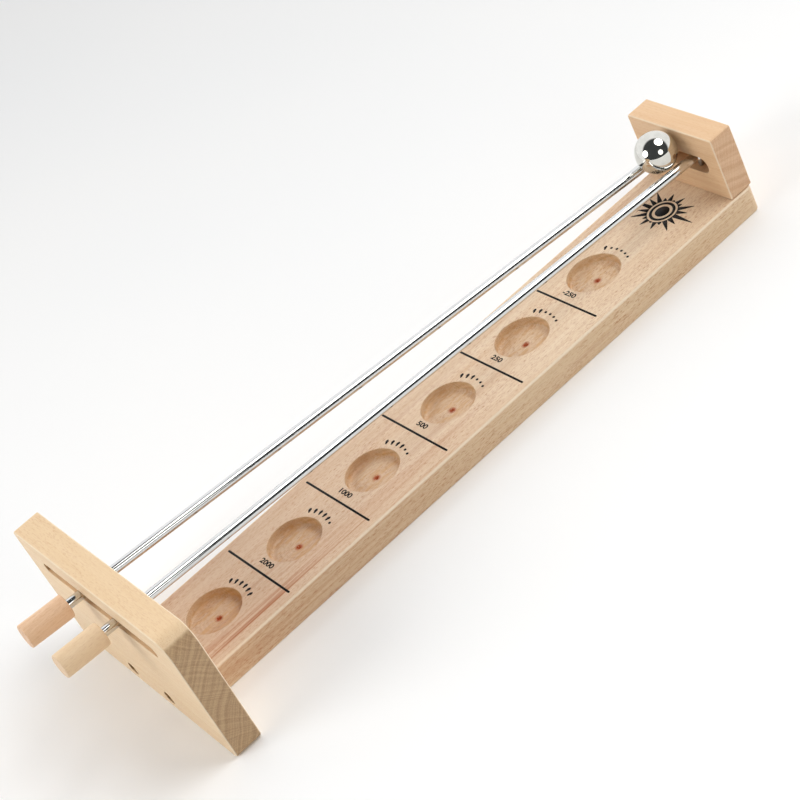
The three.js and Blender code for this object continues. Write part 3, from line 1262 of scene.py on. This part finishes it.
@dataclass
class FrontPlate:
    """The tall plate at the player's end, with the slot that the rods slide in.

    Attributes:
        corner_radii: The radii of its corners, the upper two first.
        ease: The radius of its eased edges.
        slot_reach: Half the distance between the centres of the slot's ends.
        slot_radius: Half the slot's width.
        slot_height: The slot's height above the table.
        screw_spread: From the middle to each screw.
        screw_height: The screws' height above the table.
        counterbore: The radius of the hole for a screw's head.
        counterbore_depth: How deep that hole goes.
        counterbore_ease: The radius of its softened rim.
    """

    corner_radii: tuple[float, float, float, float] = (12.5 * MM, 2.5 * MM, 4 * MM, 4 * MM)
    ease: float = 0.9 * MM
    slot_reach: float = 61.6 * MM
    slot_radius: float = 4.3 * MM
    slot_height: float = 76.2 * MM
    screw_spread: float = 21.3 * MM
    screw_height: float = 9.6 * MM
    counterbore: float = 4.8 * MM
    counterbore_depth: float = 9 * MM
    counterbore_ease: float = 0.35 * MM

    def build(self) -> None:
        """Makes the plate, its slot and its two counterbores."""
        slot = Hole((0.0, self.slot_height), self.slot_radius, self.slot_reach)
        counterbores = [
            Hole((side.value * self.screw_spread, self.screw_height), self.counterbore,
                 depth=self.counterbore_depth, ease=self.counterbore_ease)
            for side in Side
        ]
        slab = upright("front_plate", self.corner_radii, self.ease, [slot, *counterbores])
        settle(slab.build("plate"), PLATE_WOOD, "base", ["front_plate"])


@dataclass
class RearBlock:
    """The low block at the far end, whose blind slot holds the rods' pivots.

    Attributes:
        corner: The radius of its corners.
        ease: The radius of its eased edges.
        slot_reach: Half the distance between the centres of the slot's ends.
        slot_radius: Half the slot's width.
        slot_height: The slot's height above the table.
        slot_depth: How deep the slot goes.
    """

    corner: float = 1.6 * MM
    ease: float = 0.9 * MM
    slot_reach: float = 20.6 * MM
    slot_radius: float = 6.2 * MM
    slot_height: float = 42.8 * MM
    slot_depth: float = 13 * MM

    def build(self) -> None:
        """Makes the block with its slot."""
        slot = Hole((0.0, self.slot_height), self.slot_radius, self.slot_reach, depth=self.slot_depth)
        slab = upright("rear_block", [self.corner] * 4, self.ease, [slot])
        settle(slab.build("block"), BLOCK_WOOD, "base", ["rear_block"])


# ---- rods and handles ---------------------------------------------------------------------

@dataclass
class RodAndHandle:
    """One rod, flattened and drilled at its rear end, with its dowel handle.

    Attributes:
        side: The player's left or right.
        radius: The rod's radius.
        eye_radius: The radius of the flattened end.
        eye_thick: Its thickness.
        hole_radius: The radius of the hole for the pivot pin.
        blade_start: From the pivot to where the bar comes out of the eye.
        blade_half: Half the flat blade's width there.
        blade_thin: How much thinner than the eye the blade is on each face.
        swell_from: From the blade's start to where it begins to grow round.
        swell_length: The length over which it does.
        nose: The length of the dome that closes the blade.
        tail: The length of the dome that closes the rod in its handle.
        handle_length: The handle's length.
        handle_radius: The handle's radius.
        handle_ease: The radius of its eased ends.
        in_handle: How far the rod goes into the handle.
        bore_gap: How much wider than the rod the handle's hole is.
        bore_beyond: How far the hole goes on past the rod's end.
        bore_ease: The width of the hole's softened mouth.
        bore_ease_depth: Its depth.
        waves: The heights of the two waves that keep the dowel from being quite round.
        wave_step: The distance in which the second one turns by one radian.
    """

    side: Side
    radius: float = 3.175 * MM
    eye_radius: float = 5 * MM
    eye_thick: float = 3.2 * MM
    hole_radius: float = 2 * MM
    blade_start: float = 3.2 * MM
    blade_half: float = 4.1 * MM
    blade_thin: float = 0.1 * MM
    swell_from: float = 2 * MM
    swell_length: float = 7 * MM
    nose: float = 0.8 * MM
    tail: float = 1.2 * MM
    handle_length: float = 30.2 * MM
    handle_radius: float = 7.9 * MM
    handle_ease: float = 0.9 * MM
    in_handle: float = 21.5 * MM
    bore_gap: float = 0.12 * MM
    bore_beyond: float = 0.6 * MM
    bore_ease: float = 0.3 * MM
    bore_ease_depth: float = 0.35 * MM
    waves: tuple[float, float] = (0.05 * MM, 0.03 * MM)
    wave_step: float = 6 * MM

    BLADE = (1 * MM, 10 * MM, 24)    # the blade's stations: first and last past its start, how many
    ROUND = (16 * MM, 8 * MM, 60)    # the rod's: first past the blade's start, last before its end
    DOME = 8                 # points along each dome
    SECTION = 64             # points round the bar
    EYE_SECTION = 28         # points round the eye's section
    EYE_SIDES = 72
    GRIP_SIDES = 72

    def __post_init__(self) -> None:
        """Finds the rod's line: from its pivot to the middle of its handle."""
        self.pivot = joint_place(f"rod_{self.side.word}_swing")
        low, high = corners(f"handle_{self.side.word}")
        line = (low + high) / 2 - self.pivot
        span = float(np.linalg.norm(line))
        self.axis = line / span
        self.handle_start = span - self.handle_length / 2

    def stations(self) -> np.ndarray:
        """The nose, the blade, the round rod and the tail, as places along the bar's line.

        Returns:
            Their distances from the pivot.
        """
        turn = quarter_turn(self.DOME)
        start, end = self.blade_start, self.handle_start + self.in_handle
        return np.concatenate([
            start + self.nose * (1 - np.cos(turn)),
            start + np.linspace(*self.BLADE),
            np.linspace(start + self.ROUND[0], end - self.ROUND[1], self.ROUND[2]),
            end - self.tail * (1 - np.sin(turn)),
        ])

    def bar(self) -> np.ndarray:
        """The bar as a grid of points.

        Its section is a rounded oblong, half-width a and half-height b, whose points are a and b
        times the sine and cosine raised to a power. From a flat blade at the pivot it swells to a
        full circle, and both of its ends close in a dome.

        Returns:
            The points, shape (angles, stations, 3).
        """
        stations = self.stations()
        turn = quarter_turn(self.DOME)
        closing = np.concatenate([np.sin(turn), np.ones(len(stations) - 2 * self.DOME), np.cos(turn)])
        swell = np.clip((stations - self.blade_start - self.swell_from) / self.swell_length, 0, 1)
        swell = swell * swell * (3 - 2 * swell)
        blade_half_thick = self.eye_thick / 2 - self.blade_thin
        half_width = (self.blade_half + (self.radius - self.blade_half) * swell) * closing
        half_height = (blade_half_thick + (self.radius - blade_half_thick) * swell) * closing
        power = 0.55 + 0.45 * swell
        angle = full_turn(self.SECTION)[:, None]
        across = squared_off(np.cos(angle), power) * half_width
        upward = squared_off(np.sin(angle), power) * half_height
        sideways = np.cross(self.axis, UP)
        sideways /= np.linalg.norm(sideways)
        over = np.cross(sideways, self.axis)
        line = self.pivot + self.axis * stations[:, None]
        return line + across[..., None] * sideways + upward[..., None] * over

    def eye(self) -> np.ndarray:
        """The drilled ring about the pin: an oblong section carried round the pin's axis.

        Returns:
            The points, shape (angles, section, 3).
        """
        middle = (self.eye_radius + self.hole_radius) / 2
        half = (self.eye_radius - self.hole_radius) / 2
        turn = full_turn(self.EYE_SECTION)
        out = middle + half * squared_off(np.cos(turn), 0.35)
        rise = self.eye_thick / 2 * squared_off(np.sin(turn), 0.35)
        angle = full_turn(self.EYE_SIDES)[:, None]
        ring = np.stack([np.cos(angle) * out, np.sin(angle) * out, rise + 0 * angle], axis=-1)
        return self.pivot + np.concatenate([ring, ring[:, :1]], axis=1)

    def grip_profile(self) -> np.ndarray:
        """The handle's profile: its hole, its near end, its side and its far end.

        Returns:
            Rows of radius and distance from the handle's start.
        """
        away, down = quarter(self.handle_ease)
        mouth = self.radius + self.bore_gap
        bottom = self.in_handle + self.bore_beyond
        outer, far = self.handle_radius, self.handle_length
        inner_end = self.handle_ease + 0.5 * MM
        side = np.linspace(inner_end, far - inner_end, 12)
        return np.concatenate([
            [[0.0, bottom], [mouth, bottom], [mouth, self.bore_ease_depth],
             [mouth + self.bore_ease, 0.0]],
            np.stack([outer - away, down], axis=1),
            np.stack([np.full_like(side, outer), side], axis=1),
            np.stack([outer - away[::-1], far - down[::-1]], axis=1),
            [[outer / 2, far], [0.0, far]],
        ])

    def worn(self, angle: np.ndarray, distance: np.ndarray) -> np.ndarray:
        """A dowel is never quite round: a slow two-sided wave and a shallower one along it."""
        slow, shallow = self.waves
        return slow * np.sin(2 * angle + 1) + shallow * np.sin(distance / self.wave_step + 3 * angle)

    def build(self) -> None:
        """Makes the rod and its handle, which ride together."""
        word, body = self.side.word, f"rod_{self.side.word}_body"
        settle(woven(f"rod_bar_{word}", self.bar(), self.eye()), ROD_STEEL, body, [f"rod_{word}"])
        base = self.pivot + self.axis * self.handle_start
        grip = spun(self.grip_profile(), base, self.axis, self.GRIP_SIDES, self.worn)
        settle(woven(f"grip_{word}", grip), DOWEL_WOOD[self.side], body, [f"handle_{word}"])


# ---- ball ---------------------------------------------------------------------------------

@dataclass
class Ball:
    """The polished steel ball.

    Attributes:
        rings: How many rings of points it has from pole to pole.
        sides: How many points each ring has.
    """

    rings: int = 96
    sides: int = 160

    def build(self) -> None:
        """Makes the ball: a half circle turned about the upright axis."""
        low, high = corners("ball")
        radius = float(high[2] - low[2]) / 2
        polar = np.linspace(0, math.pi, self.rings)
        profile = np.stack([radius * np.sin(polar), -radius * np.cos(polar)], axis=1)
        profile[[0, -1], 0] = 0.0
        ball = woven("steel_ball", spun(profile, (low + high) / 2, UP, self.sides))
        settle(ball, BALL_STEEL, "ball_body", ["ball"])


# ---- screws and pins ----------------------------------------------------------------------

@dataclass
class WoodScrew:
    """A pan-headed wood screw with a cross recess.

    Attributes:
        node: The CAD node that it stands for.
        axis: From its head to its point.
        head_radius: The head's radius.
        head_height: The head's height.
        dome: How far the head's face falls away at its edge.
        core: The radius between the threads.
        thread: How far the thread stands out from the core.
        pitch: The distance between threads.
        plain: The length under the head that has no thread.
        taper: The length of the point.
        arm_length: From the recess's middle to the end of an arm.
        arm_half: Half an arm's width.
        arm_slopes: The width of the slopes at an arm's sides and at its ends.
        recess_depth: How deep the recess goes.
        bevel: The height and the width of the bevel under the head.
    """

    node: str
    axis: Place
    head_radius: float = 4 * MM
    head_height: float = 3 * MM
    dome: float = 0.75 * MM
    core: float = 1.4 * MM
    thread: float = 0.6 * MM
    pitch: float = 1.8 * MM
    plain: float = 2 * MM
    taper: float = 6 * MM
    arm_length: float = 2.3 * MM
    arm_half: float = 0.62 * MM
    arm_slopes: tuple[float, float] = (0.18 * MM, 0.9 * MM)
    recess_depth: float = 1.5 * MM
    bevel: tuple[float, float] = (0.3 * MM, 0.25 * MM)

    FACE_RINGS = 30
    SHANK_RINGS = 150
    SIDES = 72

    def __post_init__(self) -> None:
        """Finds the screw's head and length."""
        low, high = corners(self.node)
        self.line = np.array(self.axis)
        self.length = float(np.abs(high - low) @ self.line)
        self.head = (low + high) / 2 - self.line * self.length / 2

    def recess(self, across: np.ndarray, upward: np.ndarray) -> np.ndarray:
        """The depth of the cross: two arms, each deepest in the middle and closed at its ends.

        Args:
            across: Places on the head's face, from its middle.
            upward: The same, the other way.

        Returns:
            The depth at each place.
        """
        def arm(along: np.ndarray, beside: np.ndarray) -> np.ndarray:
            """One arm, from nought outside it to one in it, with sloping sides and ends."""
            side_slope, end_slope = self.arm_slopes
            return (np.clip((self.arm_half - np.abs(beside)) / side_slope, 0, 1) *
                    np.clip((self.arm_length - np.abs(along)) / end_slope, 0, 1))
        return self.recess_depth * np.maximum(arm(across, upward), arm(upward, across))

    def profile(self) -> np.ndarray:
        """The screw's profile: the face, the head's edge, the neck and the shank.

        Returns:
            Rows of radius and distance from the head's face.
        """
        sweep = np.linspace(0, 1, self.FACE_RINGS)
        face = np.stack([sweep * self.head_radius, self.dome * sweep ** 4], axis=1)
        edge = [[self.head_radius, self.head_height - self.bevel[0]],
                [self.head_radius - self.bevel[1], self.head_height]]
        neck = [[self.core + self.thread, self.head_height]]
        down = np.linspace(self.head_height + 0.1 * MM, self.length - 0.5 * MM, self.SHANK_RINGS)
        taper = np.clip((self.length - down) / self.taper, 0, 1)
        shank = np.stack([self.core * np.maximum(taper, 0.08), down], axis=1)
        return np.concatenate([face, edge, neck, shank, [[0.0, self.length]]])

    def ridge(self, angle: np.ndarray, distance: np.ndarray) -> np.ndarray:
        """The thread, which climbs one pitch a turn: the fourth power of a raised cosine.

        Args:
            angle: The angle about the screw's axis.
            distance: The distance from the head's face.

        Returns:
            How far the thread stands out.
        """
        wave = (0.5 + 0.5 * np.cos(angle - 2 * math.pi * distance / self.pitch)) ** 4
        threaded = (distance > self.head_height + self.plain) & (distance < self.length - 1 * MM)
        return self.thread * wave * threaded * np.clip((self.length - distance) / self.taper, 0, 1)

    def build(self) -> None:
        """Makes the screw as one turned grid, and sinks the recess into its face."""
        points = spun(self.profile(), self.head, self.line, self.SIDES, self.ridge)
        offset = points[:, :self.FACE_RINGS] - self.head
        first, second = (n for n in range(3) if abs(self.line[n]) < 0.5)
        sink = self.recess(offset[..., first], offset[..., second])
        points[:, :self.FACE_RINGS] += self.line * sink[..., None]
        settle(woven(f"{self.node}_threaded", points), SCREW_STEEL, "base", [self.node])


@dataclass
class PivotPin:
    """A steel pin that one rod swings on.

    Attributes:
        side: The player's left or right.
        ease: The radius of its rounded ends.
        rings: How many rings of points its side has.
        sides: How many points each ring has.
    """

    side: Side
    ease: float = 0.5 * MM
    rings: int = 20
    sides: int = 48

    def build(self) -> None:
        """Makes the pin: a turned bar with rounded ends."""
        node = f"pivot_pin_{self.side.word}"
        low, high = corners(node)
        radius, length = float(high[0] - low[0]) / 2, float(high[2] - low[2])
        away, down = quarter(self.ease)
        along = np.linspace(2 * self.ease, length - 2 * self.ease, self.rings)
        profile = np.concatenate([
            [[0.0, 0.0]], np.stack([radius - away, down], axis=1),
            np.stack([np.full(self.rings, radius), along], axis=1),
            np.stack([radius - away[::-1], length - down[::-1]], axis=1), [[0.0, length]],
        ])
        base = np.array([(low[0] + high[0]) / 2, (low[1] + high[1]) / 2, low[2]])
        settle(woven(f"{node}_bar", spun(profile, base, UP, self.sides)), SCREW_STEEL, "base", [node])


# ---- printed marks ------------------------------------------------------------------------

@dataclass
class Print:
    """One piece of flat printing at a level, with a little height of its own.

    Attributes:
        level: The height of the wood's face.
    """

    level: float

    def __post_init__(self) -> None:
        """Starts with nothing printed."""
        self.surface = Surface()

    def layered(self, *rows: tuple[np.ndarray, bool]) -> None:
        """Adds a closed shape.

        Args:
            rows: Its lines in order round its section, each with whether it is on the ink's top.
        """
        heights = {True: self.level + INK_HEIGHT, False: self.level - INK_DEPTH}
        lines = [np.column_stack([line, np.full(len(line), heights[on_top])]) for line, on_top in rows]
        self.surface.grid(np.stack(lines, axis=1))

    def ring(self, outer: np.ndarray, inner: np.ndarray) -> None:
        """Adds a band of ink between two lines with the same number of points."""
        self.layered((outer, False), (outer, True), (inner, True), (inner, False), (outer, False))

    def filled(self, outline: np.ndarray) -> None:
        """Adds a filled shape that is star-shaped about its middle."""
        middle = np.repeat(outline.mean(0)[None], len(outline), axis=0)
        self.layered((middle, False), (outline, False), (outline, True), (middle, True))

    def lay(self, name: str) -> None:
        """Makes the piece and lays it on the board."""
        settle(self.surface.build(name), PRINT_INK, "base")


@dataclass
class Sunburst:
    """A plain sunburst: a ring, a disc in it, and rays of two lengths.

    Attributes:
        before_block: From the rear block back to its centre.
        disc: The disc's radius.
        ring: The ring's outer and inner radii.
        reach: The longest ray's end, across the board and along it.
        rays: How many rays there are.
        short: The length of every second ray as a share of its neighbours'.
        ray_start: From the centre to a ray's foot.
        ray_half: Half a ray's width at its foot.
        tip_half: Half its width at its tip.
    """

    before_block: float = 27 * MM
    disc: float = 5.0 * MM
    ring: tuple[float, float] = (9.0 * MM, 7.0 * MM)
    reach: tuple[float, float] = (28.5 * MM, 16.5 * MM)
    rays: int = 20
    short: float = 0.72
    ray_start: float = 10.4 * MM
    ray_half: float = 1.7 * MM
    tip_half: float = 0.06 * MM

    def ray(self, number: int) -> np.ndarray:
        """One ray: a spine whose half-width shrinks towards its tip, inside an oval.

        Args:
            number: The ray's number, from nought.

        Returns:
            Its outline about the sunburst's centre.
        """
        out = directions(np.array([2 * math.pi * number / self.rays]))[0]
        beside = np.array([-out[1], out[0]])
        oval = 1 / math.hypot(out[0] / self.reach[0], out[1] / self.reach[1])
        far = oval if number % 2 == 0 else self.short * oval
        share = np.linspace(0, 1, 9)[:, None]
        half_width = self.ray_half * (1 - share) ** 0.8 + self.tip_half
        spine = out * (self.ray_start + (far - self.ray_start) * share)
        return np.concatenate([spine + beside * half_width, (spine - beside * half_width)[::-1]])

    def build(self, level: float) -> None:
        """Prints it.

        Args:
            level: The height of the wood's face.
        """
        centre = np.array([0.0, float(corners("rear_block")[0][1]) - self.before_block])
        circle = directions(full_turn(64))
        outer, inner = self.ring
        mark = Print(level)
        mark.filled(circle * self.disc + centre)
        mark.ring(circle * outer + centre, circle * inner + centre)
        for number in range(self.rays):
            mark.filled(self.ray(number) + centre)
        mark.lay("ornament")


@dataclass
class Printing:
    """Everything printed on the board: dividers, scores, rank marks and an ornament.

    Attributes:
        board: The board that it is printed on.
        scores: The score of each pocket, from the player's end.
        divider_behind: From a pocket's centre back to the divider behind it.
        divider_half: Half a divider's length.
        divider_thick: A divider's thickness.
        score_ahead: From a pocket's centre forward to its score's middle.
        score_height: The height of a figure.
        score_widen: How much wider than usual a figure is.
        score_bold: How much its strokes are thickened, as a share of the type's size.
        arc_radius: The radius of the arc of rank marks about a pocket's centre.
        arc_half: Half the angle that the arc covers.
        bar_half: Half a long mark's length.
        bar_widths: Half its width at its outer and its inner end.
        dot: A short mark's radius.
    """

    board: BaseBoard
    scores: tuple[str, ...] = ("4000", "2000", "1000", "500", "250", "-250")
    divider_behind: float = 35.7 * MM
    divider_half: float = 34 * MM
    divider_thick: float = 1.5 * MM
    score_ahead: float = 22 * MM
    score_height: float = 3.9 * MM
    score_widen: float = 1.25
    score_bold: float = 0.03
    arc_radius: float = 23.6 * MM
    arc_half: float = math.radians(27)
    bar_half: float = 2.0 * MM
    bar_widths: tuple[float, float] = (1.15 * MM, 0.8 * MM)
    dot: float = 0.95 * MM

    def __post_init__(self) -> None:
        """Finds the level of the wood's face."""
        self.level = float(self.board.high[2])

    def divider(self, pocket: int) -> None:
        """Prints the line behind a pocket, a long bar with round ends.

        Args:
            pocket: The pocket's number.
        """
        bar = slot_loop(self.divider_half - self.divider_thick / 2, self.divider_thick / 2)
        mark = Print(self.level)
        mark.filled(bar.points + np.array([0.0, self.board.centre_of(pocket) + self.divider_behind]))
        mark.lay(f"divider_{pocket + 1}")

    def figures(self, name: str, words: str) -> bpy.types.Mesh:
        """Figures one unit high and one unit thick, before they are given their size.

        Args:
            name: The piece's name.
            words: The figures.

        Returns:
            Their mesh.
        """
        text = bpy.data.curves.new(name, "FONT")
        text.body = words
        text.size = 1.0
        text.align_x, text.align_y = "CENTER", "CENTER"
        text.offset = self.score_bold
        text.extrude = 0.5
        text.resolution_u = 6
        holder = shown(name, text)
        bpy.context.view_layer.update()
        mesh = bpy.data.meshes.new_from_object(holder.evaluated_get(bpy.context.evaluated_depsgraph_get()))
        bpy.data.objects.remove(holder)
        return mesh

    def score(self, pocket: int) -> None:
        """Prints a pocket's score in figures that the player reads from the handles.

        Args:
            pocket: The pocket's number.
        """
        name = f"score_{pocket + 1}"
        mesh = self.figures(name, self.scores[pocket])
        points = np.zeros(len(mesh.vertices) * 3, np.float32)
        mesh.vertices.foreach_get("co", points)
        points = points.reshape(-1, 3)
        size = self.score_height / (points[:, 1].max() - points[:, 1].min())
        middle = (points.max(0) + points.min(0)) / 2
        place = np.array([0.0, self.board.centre_of(pocket) - self.score_ahead, self.level])
        points = (points - middle) * np.array([self.score_widen * size, size, INK_HEIGHT + INK_DEPTH]) + place
        points[:, 2] += (INK_HEIGHT - INK_DEPTH) / 2
        mesh.vertices.foreach_set("co", points.astype(np.float32).ravel())
        close_seams(mesh, WELD / 10)
        settle(shown(name, mesh), PRINT_INK, "base")

    def rank_marks(self, pocket: int) -> None:
        """Prints six marks on an arc behind a pocket: a tapered bar for each rank it has, then dots.

        Args:
            pocket: The pocket's number; the one nearest the player ranks highest.
        """
        mark = Print(self.level)
        rank = self.board.pockets - pocket
        circle = directions(full_turn(24))
        outer, inner = self.bar_widths
        bar = circle * np.stack([np.where(circle[:, 1] > 0, outer, inner),
                                 np.full(len(circle), self.bar_half)], axis=1)
        centre = np.array([0.0, self.board.centre_of(pocket)])
        for number, lean in enumerate(np.linspace(-self.arc_half, self.arc_half, self.board.pockets)):
            shape = (bar if number < rank else circle * self.dot) + np.array([0.0, self.arc_radius])
            c, s = math.cos(lean), math.sin(lean)
            mark.filled(shape @ np.array([[c, -s], [s, c]]) + centre)
        mark.lay(f"rank_marks_{pocket + 1}")

    def build(self) -> None:
        """Prints everything."""
        for pocket in range(self.board.pockets):
            if pocket < self.board.pockets - 1:
                self.divider(pocket)
            self.score(pocket)
            self.rank_marks(pocket)
        Sunburst().build(self.level)


# ---- studio -------------------------------------------------------------------------------

@dataclass(frozen=True)
class Softbox:
    """A round light that faces the game.

    Attributes:
        toward: The direction from the game to the light.
        distance: How far away it is.
        size: Its width.
        radiance: How bright its face is.
        tint: The light's colour.
    """

    toward: Place
    distance: float
    size: float
    radiance: float
    tint: Colour = (1.0, 0.985, 0.965)

    def hang(self, name: str) -> None:
        """Makes the light; its power is pi times its area times its brightness.

        Args:
            name: The light's name.
        """
        lamp = bpy.data.lights.new(name, "AREA")
        lamp.shape, lamp.size = "DISK", self.size
        lamp.energy = math.pi * (math.pi * self.size ** 2 / 4) * self.radiance
        lamp.color = self.tint
        made = shown(name, lamp)
        out = Vector(self.toward).normalized()
        made.location = out * self.distance
        made.rotation_mode = "QUATERNION"
        made.rotation_quaternion = (-out).to_track_quat("-Z", "Y")


@dataclass
class Studio:
    """A pale floor, a bright tent with a dim opening on the camera's side, and three softboxes.

    Attributes:
        azimuth: The camera's side, in degrees from the player's towards the right.
        elevation: Its angle above the floor.
        roll: How far it leans.
        distance: From the camera to what it looks at.
        aim: What it looks at.
        lens: Its focal length in millimetres.
        tent: The tent's colour.
        tent_strength: The tent's brightness.
        dim: The colour of its dim opening.
        opening: The direction of the opening's middle.
        dim_reach: The opening's half angle in degrees.
        dim_soft: The half width of its soft edge in degrees.
        floor_reach: Half the floor's width.
        floor_gap: How far under the game it lies.
        glow_from: From how far out to how far out the floor begins to glow.
        glow: How strongly it glows beyond that, so that it meets the tent without an edge.
        softboxes: The lights.
    """

    azimuth: float = 68.72
    elevation: float = 36.165
    roll: float = -28.48
    distance: float = 1.39666
    aim: Place = (-0.01964, 0.00649, 0.03)
    lens: float = 101.74
    tent: Colour = (0.98, 0.985, 1.0)
    tent_strength: float = 1.13
    dim: Colour = (0.055, 0.058, 0.06)
    opening: Place = (0.64, -0.42, 0.67)
    dim_reach: float = 70.0
    dim_soft: float = 6.0
    floor_reach: float = 2.6
    floor_gap: float = 0.05 * MM
    glow_from: tuple[float, float] = (0.9, 2.2)
    glow: float = 0.62
    softboxes: tuple[Softbox, ...] = (
        Softbox((0.293, 0.43, 0.853), 1.9, 1.25, 4.4),
        Softbox((-0.194, -0.843, 0.502), 1.9, 1.1, 4.8),
        Softbox((0.907, -0.025, 0.419), 1.9, 0.85, 2.6),
    )

    def camera(self) -> None:
        """Makes the camera: it looks at the aim from an azimuth and elevation, and leans by the roll."""
        lens = bpy.data.cameras.new("camera")
        lens.lens, lens.sensor_width = self.lens, 36.0
        lens.clip_start, lens.clip_end = 0.01, 30.0
        made = shown("camera", lens)
        a, e = math.radians(self.azimuth), math.radians(self.elevation)
        back = Vector((math.sin(a) * math.cos(e), -math.cos(a) * math.cos(e), math.sin(e)))
        turn = (-back).to_track_quat("-Z", "Y").to_matrix() @ Matrix.Rotation(math.radians(self.roll), 3, "Z")
        made.location = Vector(self.aim) + back * self.distance
        made.rotation_mode = "QUATERNION"
        made.rotation_quaternion = turn.to_quaternion()
        bpy.context.scene.camera = made

    def floor(self) -> None:
        """Makes the floor: a wide flat grid just under the game, pale and a little uneven in tint."""
        side = np.linspace(-self.floor_reach, self.floor_reach, 9)
        across, along = np.meshgrid(side, side, indexing="ij")
        surface = Surface()
        surface.grid(np.stack([across, along, np.full_like(across, -self.floor_gap)], axis=-1), closed=False)
        made = surface.build("floor")
        g = Graph("pale_floor")
        axes = g.place()
        haze = g.noise(g.scaled(axes, (3.0, 3.0, 3.0)), detail=1.0)
        away = g.length(g.scaled(axes, (1.0, 1.0, 0.0)))
        g.shade({
            "Base Color": g.mix(g.span(haze, 0.3, 0.7), (0.97, 0.97, 0.965), (0.955, 0.96, 0.96)),
            "Roughness": 0.75,
            "Emission Color": (1.0, 1.0, 1.0, 1.0),
            "Emission Strength": g.span(away, *self.glow_from, (0.0, self.glow)),
        })
        made.data.materials.append(g.material)

    def world(self) -> None:
        """Makes the tent: bright all round, and dim within a soft-edged cone on the camera's side.

        The cone is only there for the light and the mirrors; seen directly, the tent is plain.
        """
        world = bpy.data.worlds.new("tent")
        world.use_nodes = True
        bpy.context.scene.world = world
        tree = Tree(world.node_tree)
        where = tree.node("ShaderNodeTexCoord").outputs["Generated"]
        middle = Vector(self.opening).normalized()
        facing = tree.node("ShaderNodeVectorMath", {0: where, 1: middle}, operation="DOT_PRODUCT")
        edges = [math.cos(math.radians(self.dim_reach + soft)) for soft in (self.dim_soft, -self.dim_soft)]
        within = tree.span(facing.outputs["Value"], *edges)
        seen = tree.node("ShaderNodeLightPath").outputs["Is Camera Ray"]
        share = tree.node("ShaderNodeMath", {0: within, 1: seen}, operation="SUBTRACT", use_clamp=True)
        sky = tree.mix(share.outputs[0], self.tent, self.dim)
        back = tree.node("ShaderNodeBackground", {"Color": sky, "Strength": self.tent_strength})
        tree.node("ShaderNodeOutputWorld", {"Surface": back.outputs["Background"]})

    def build(self) -> None:
        """Sets up the camera, floor, tent and lights."""
        self.camera()
        self.floor()
        self.world()
        for number, softbox in enumerate(self.softboxes):
            softbox.hang(f"softbox_{number + 1}")
        bpy.context.scene.view_settings.view_transform = "Standard"


# ---- the whole game -----------------------------------------------------------------------

def main() -> None:
    """Builds the studio and every piece."""
    logging.basicConfig(level=logging.INFO, format="%(name)s %(message)s")
    Studio().build()
    board = BaseBoard()
    parts = [board, FrontPlate(), RearBlock(), Ball()]
    for side in Side:
        parts += [
            RodAndHandle(side),
            PivotPin(side),
            WoodScrew(f"plate_screw_{side.word}", (0.0, 1.0, 0.0)),
            WoodScrew(f"block_screw_{side.word}", (0.0, 0.0, 1.0)),
        ]
    parts.append(Printing(board))
    for part in parts:
        part.build()
        log.info("built %s", type(part).__name__)


if __name__ == "__main__":
    main()
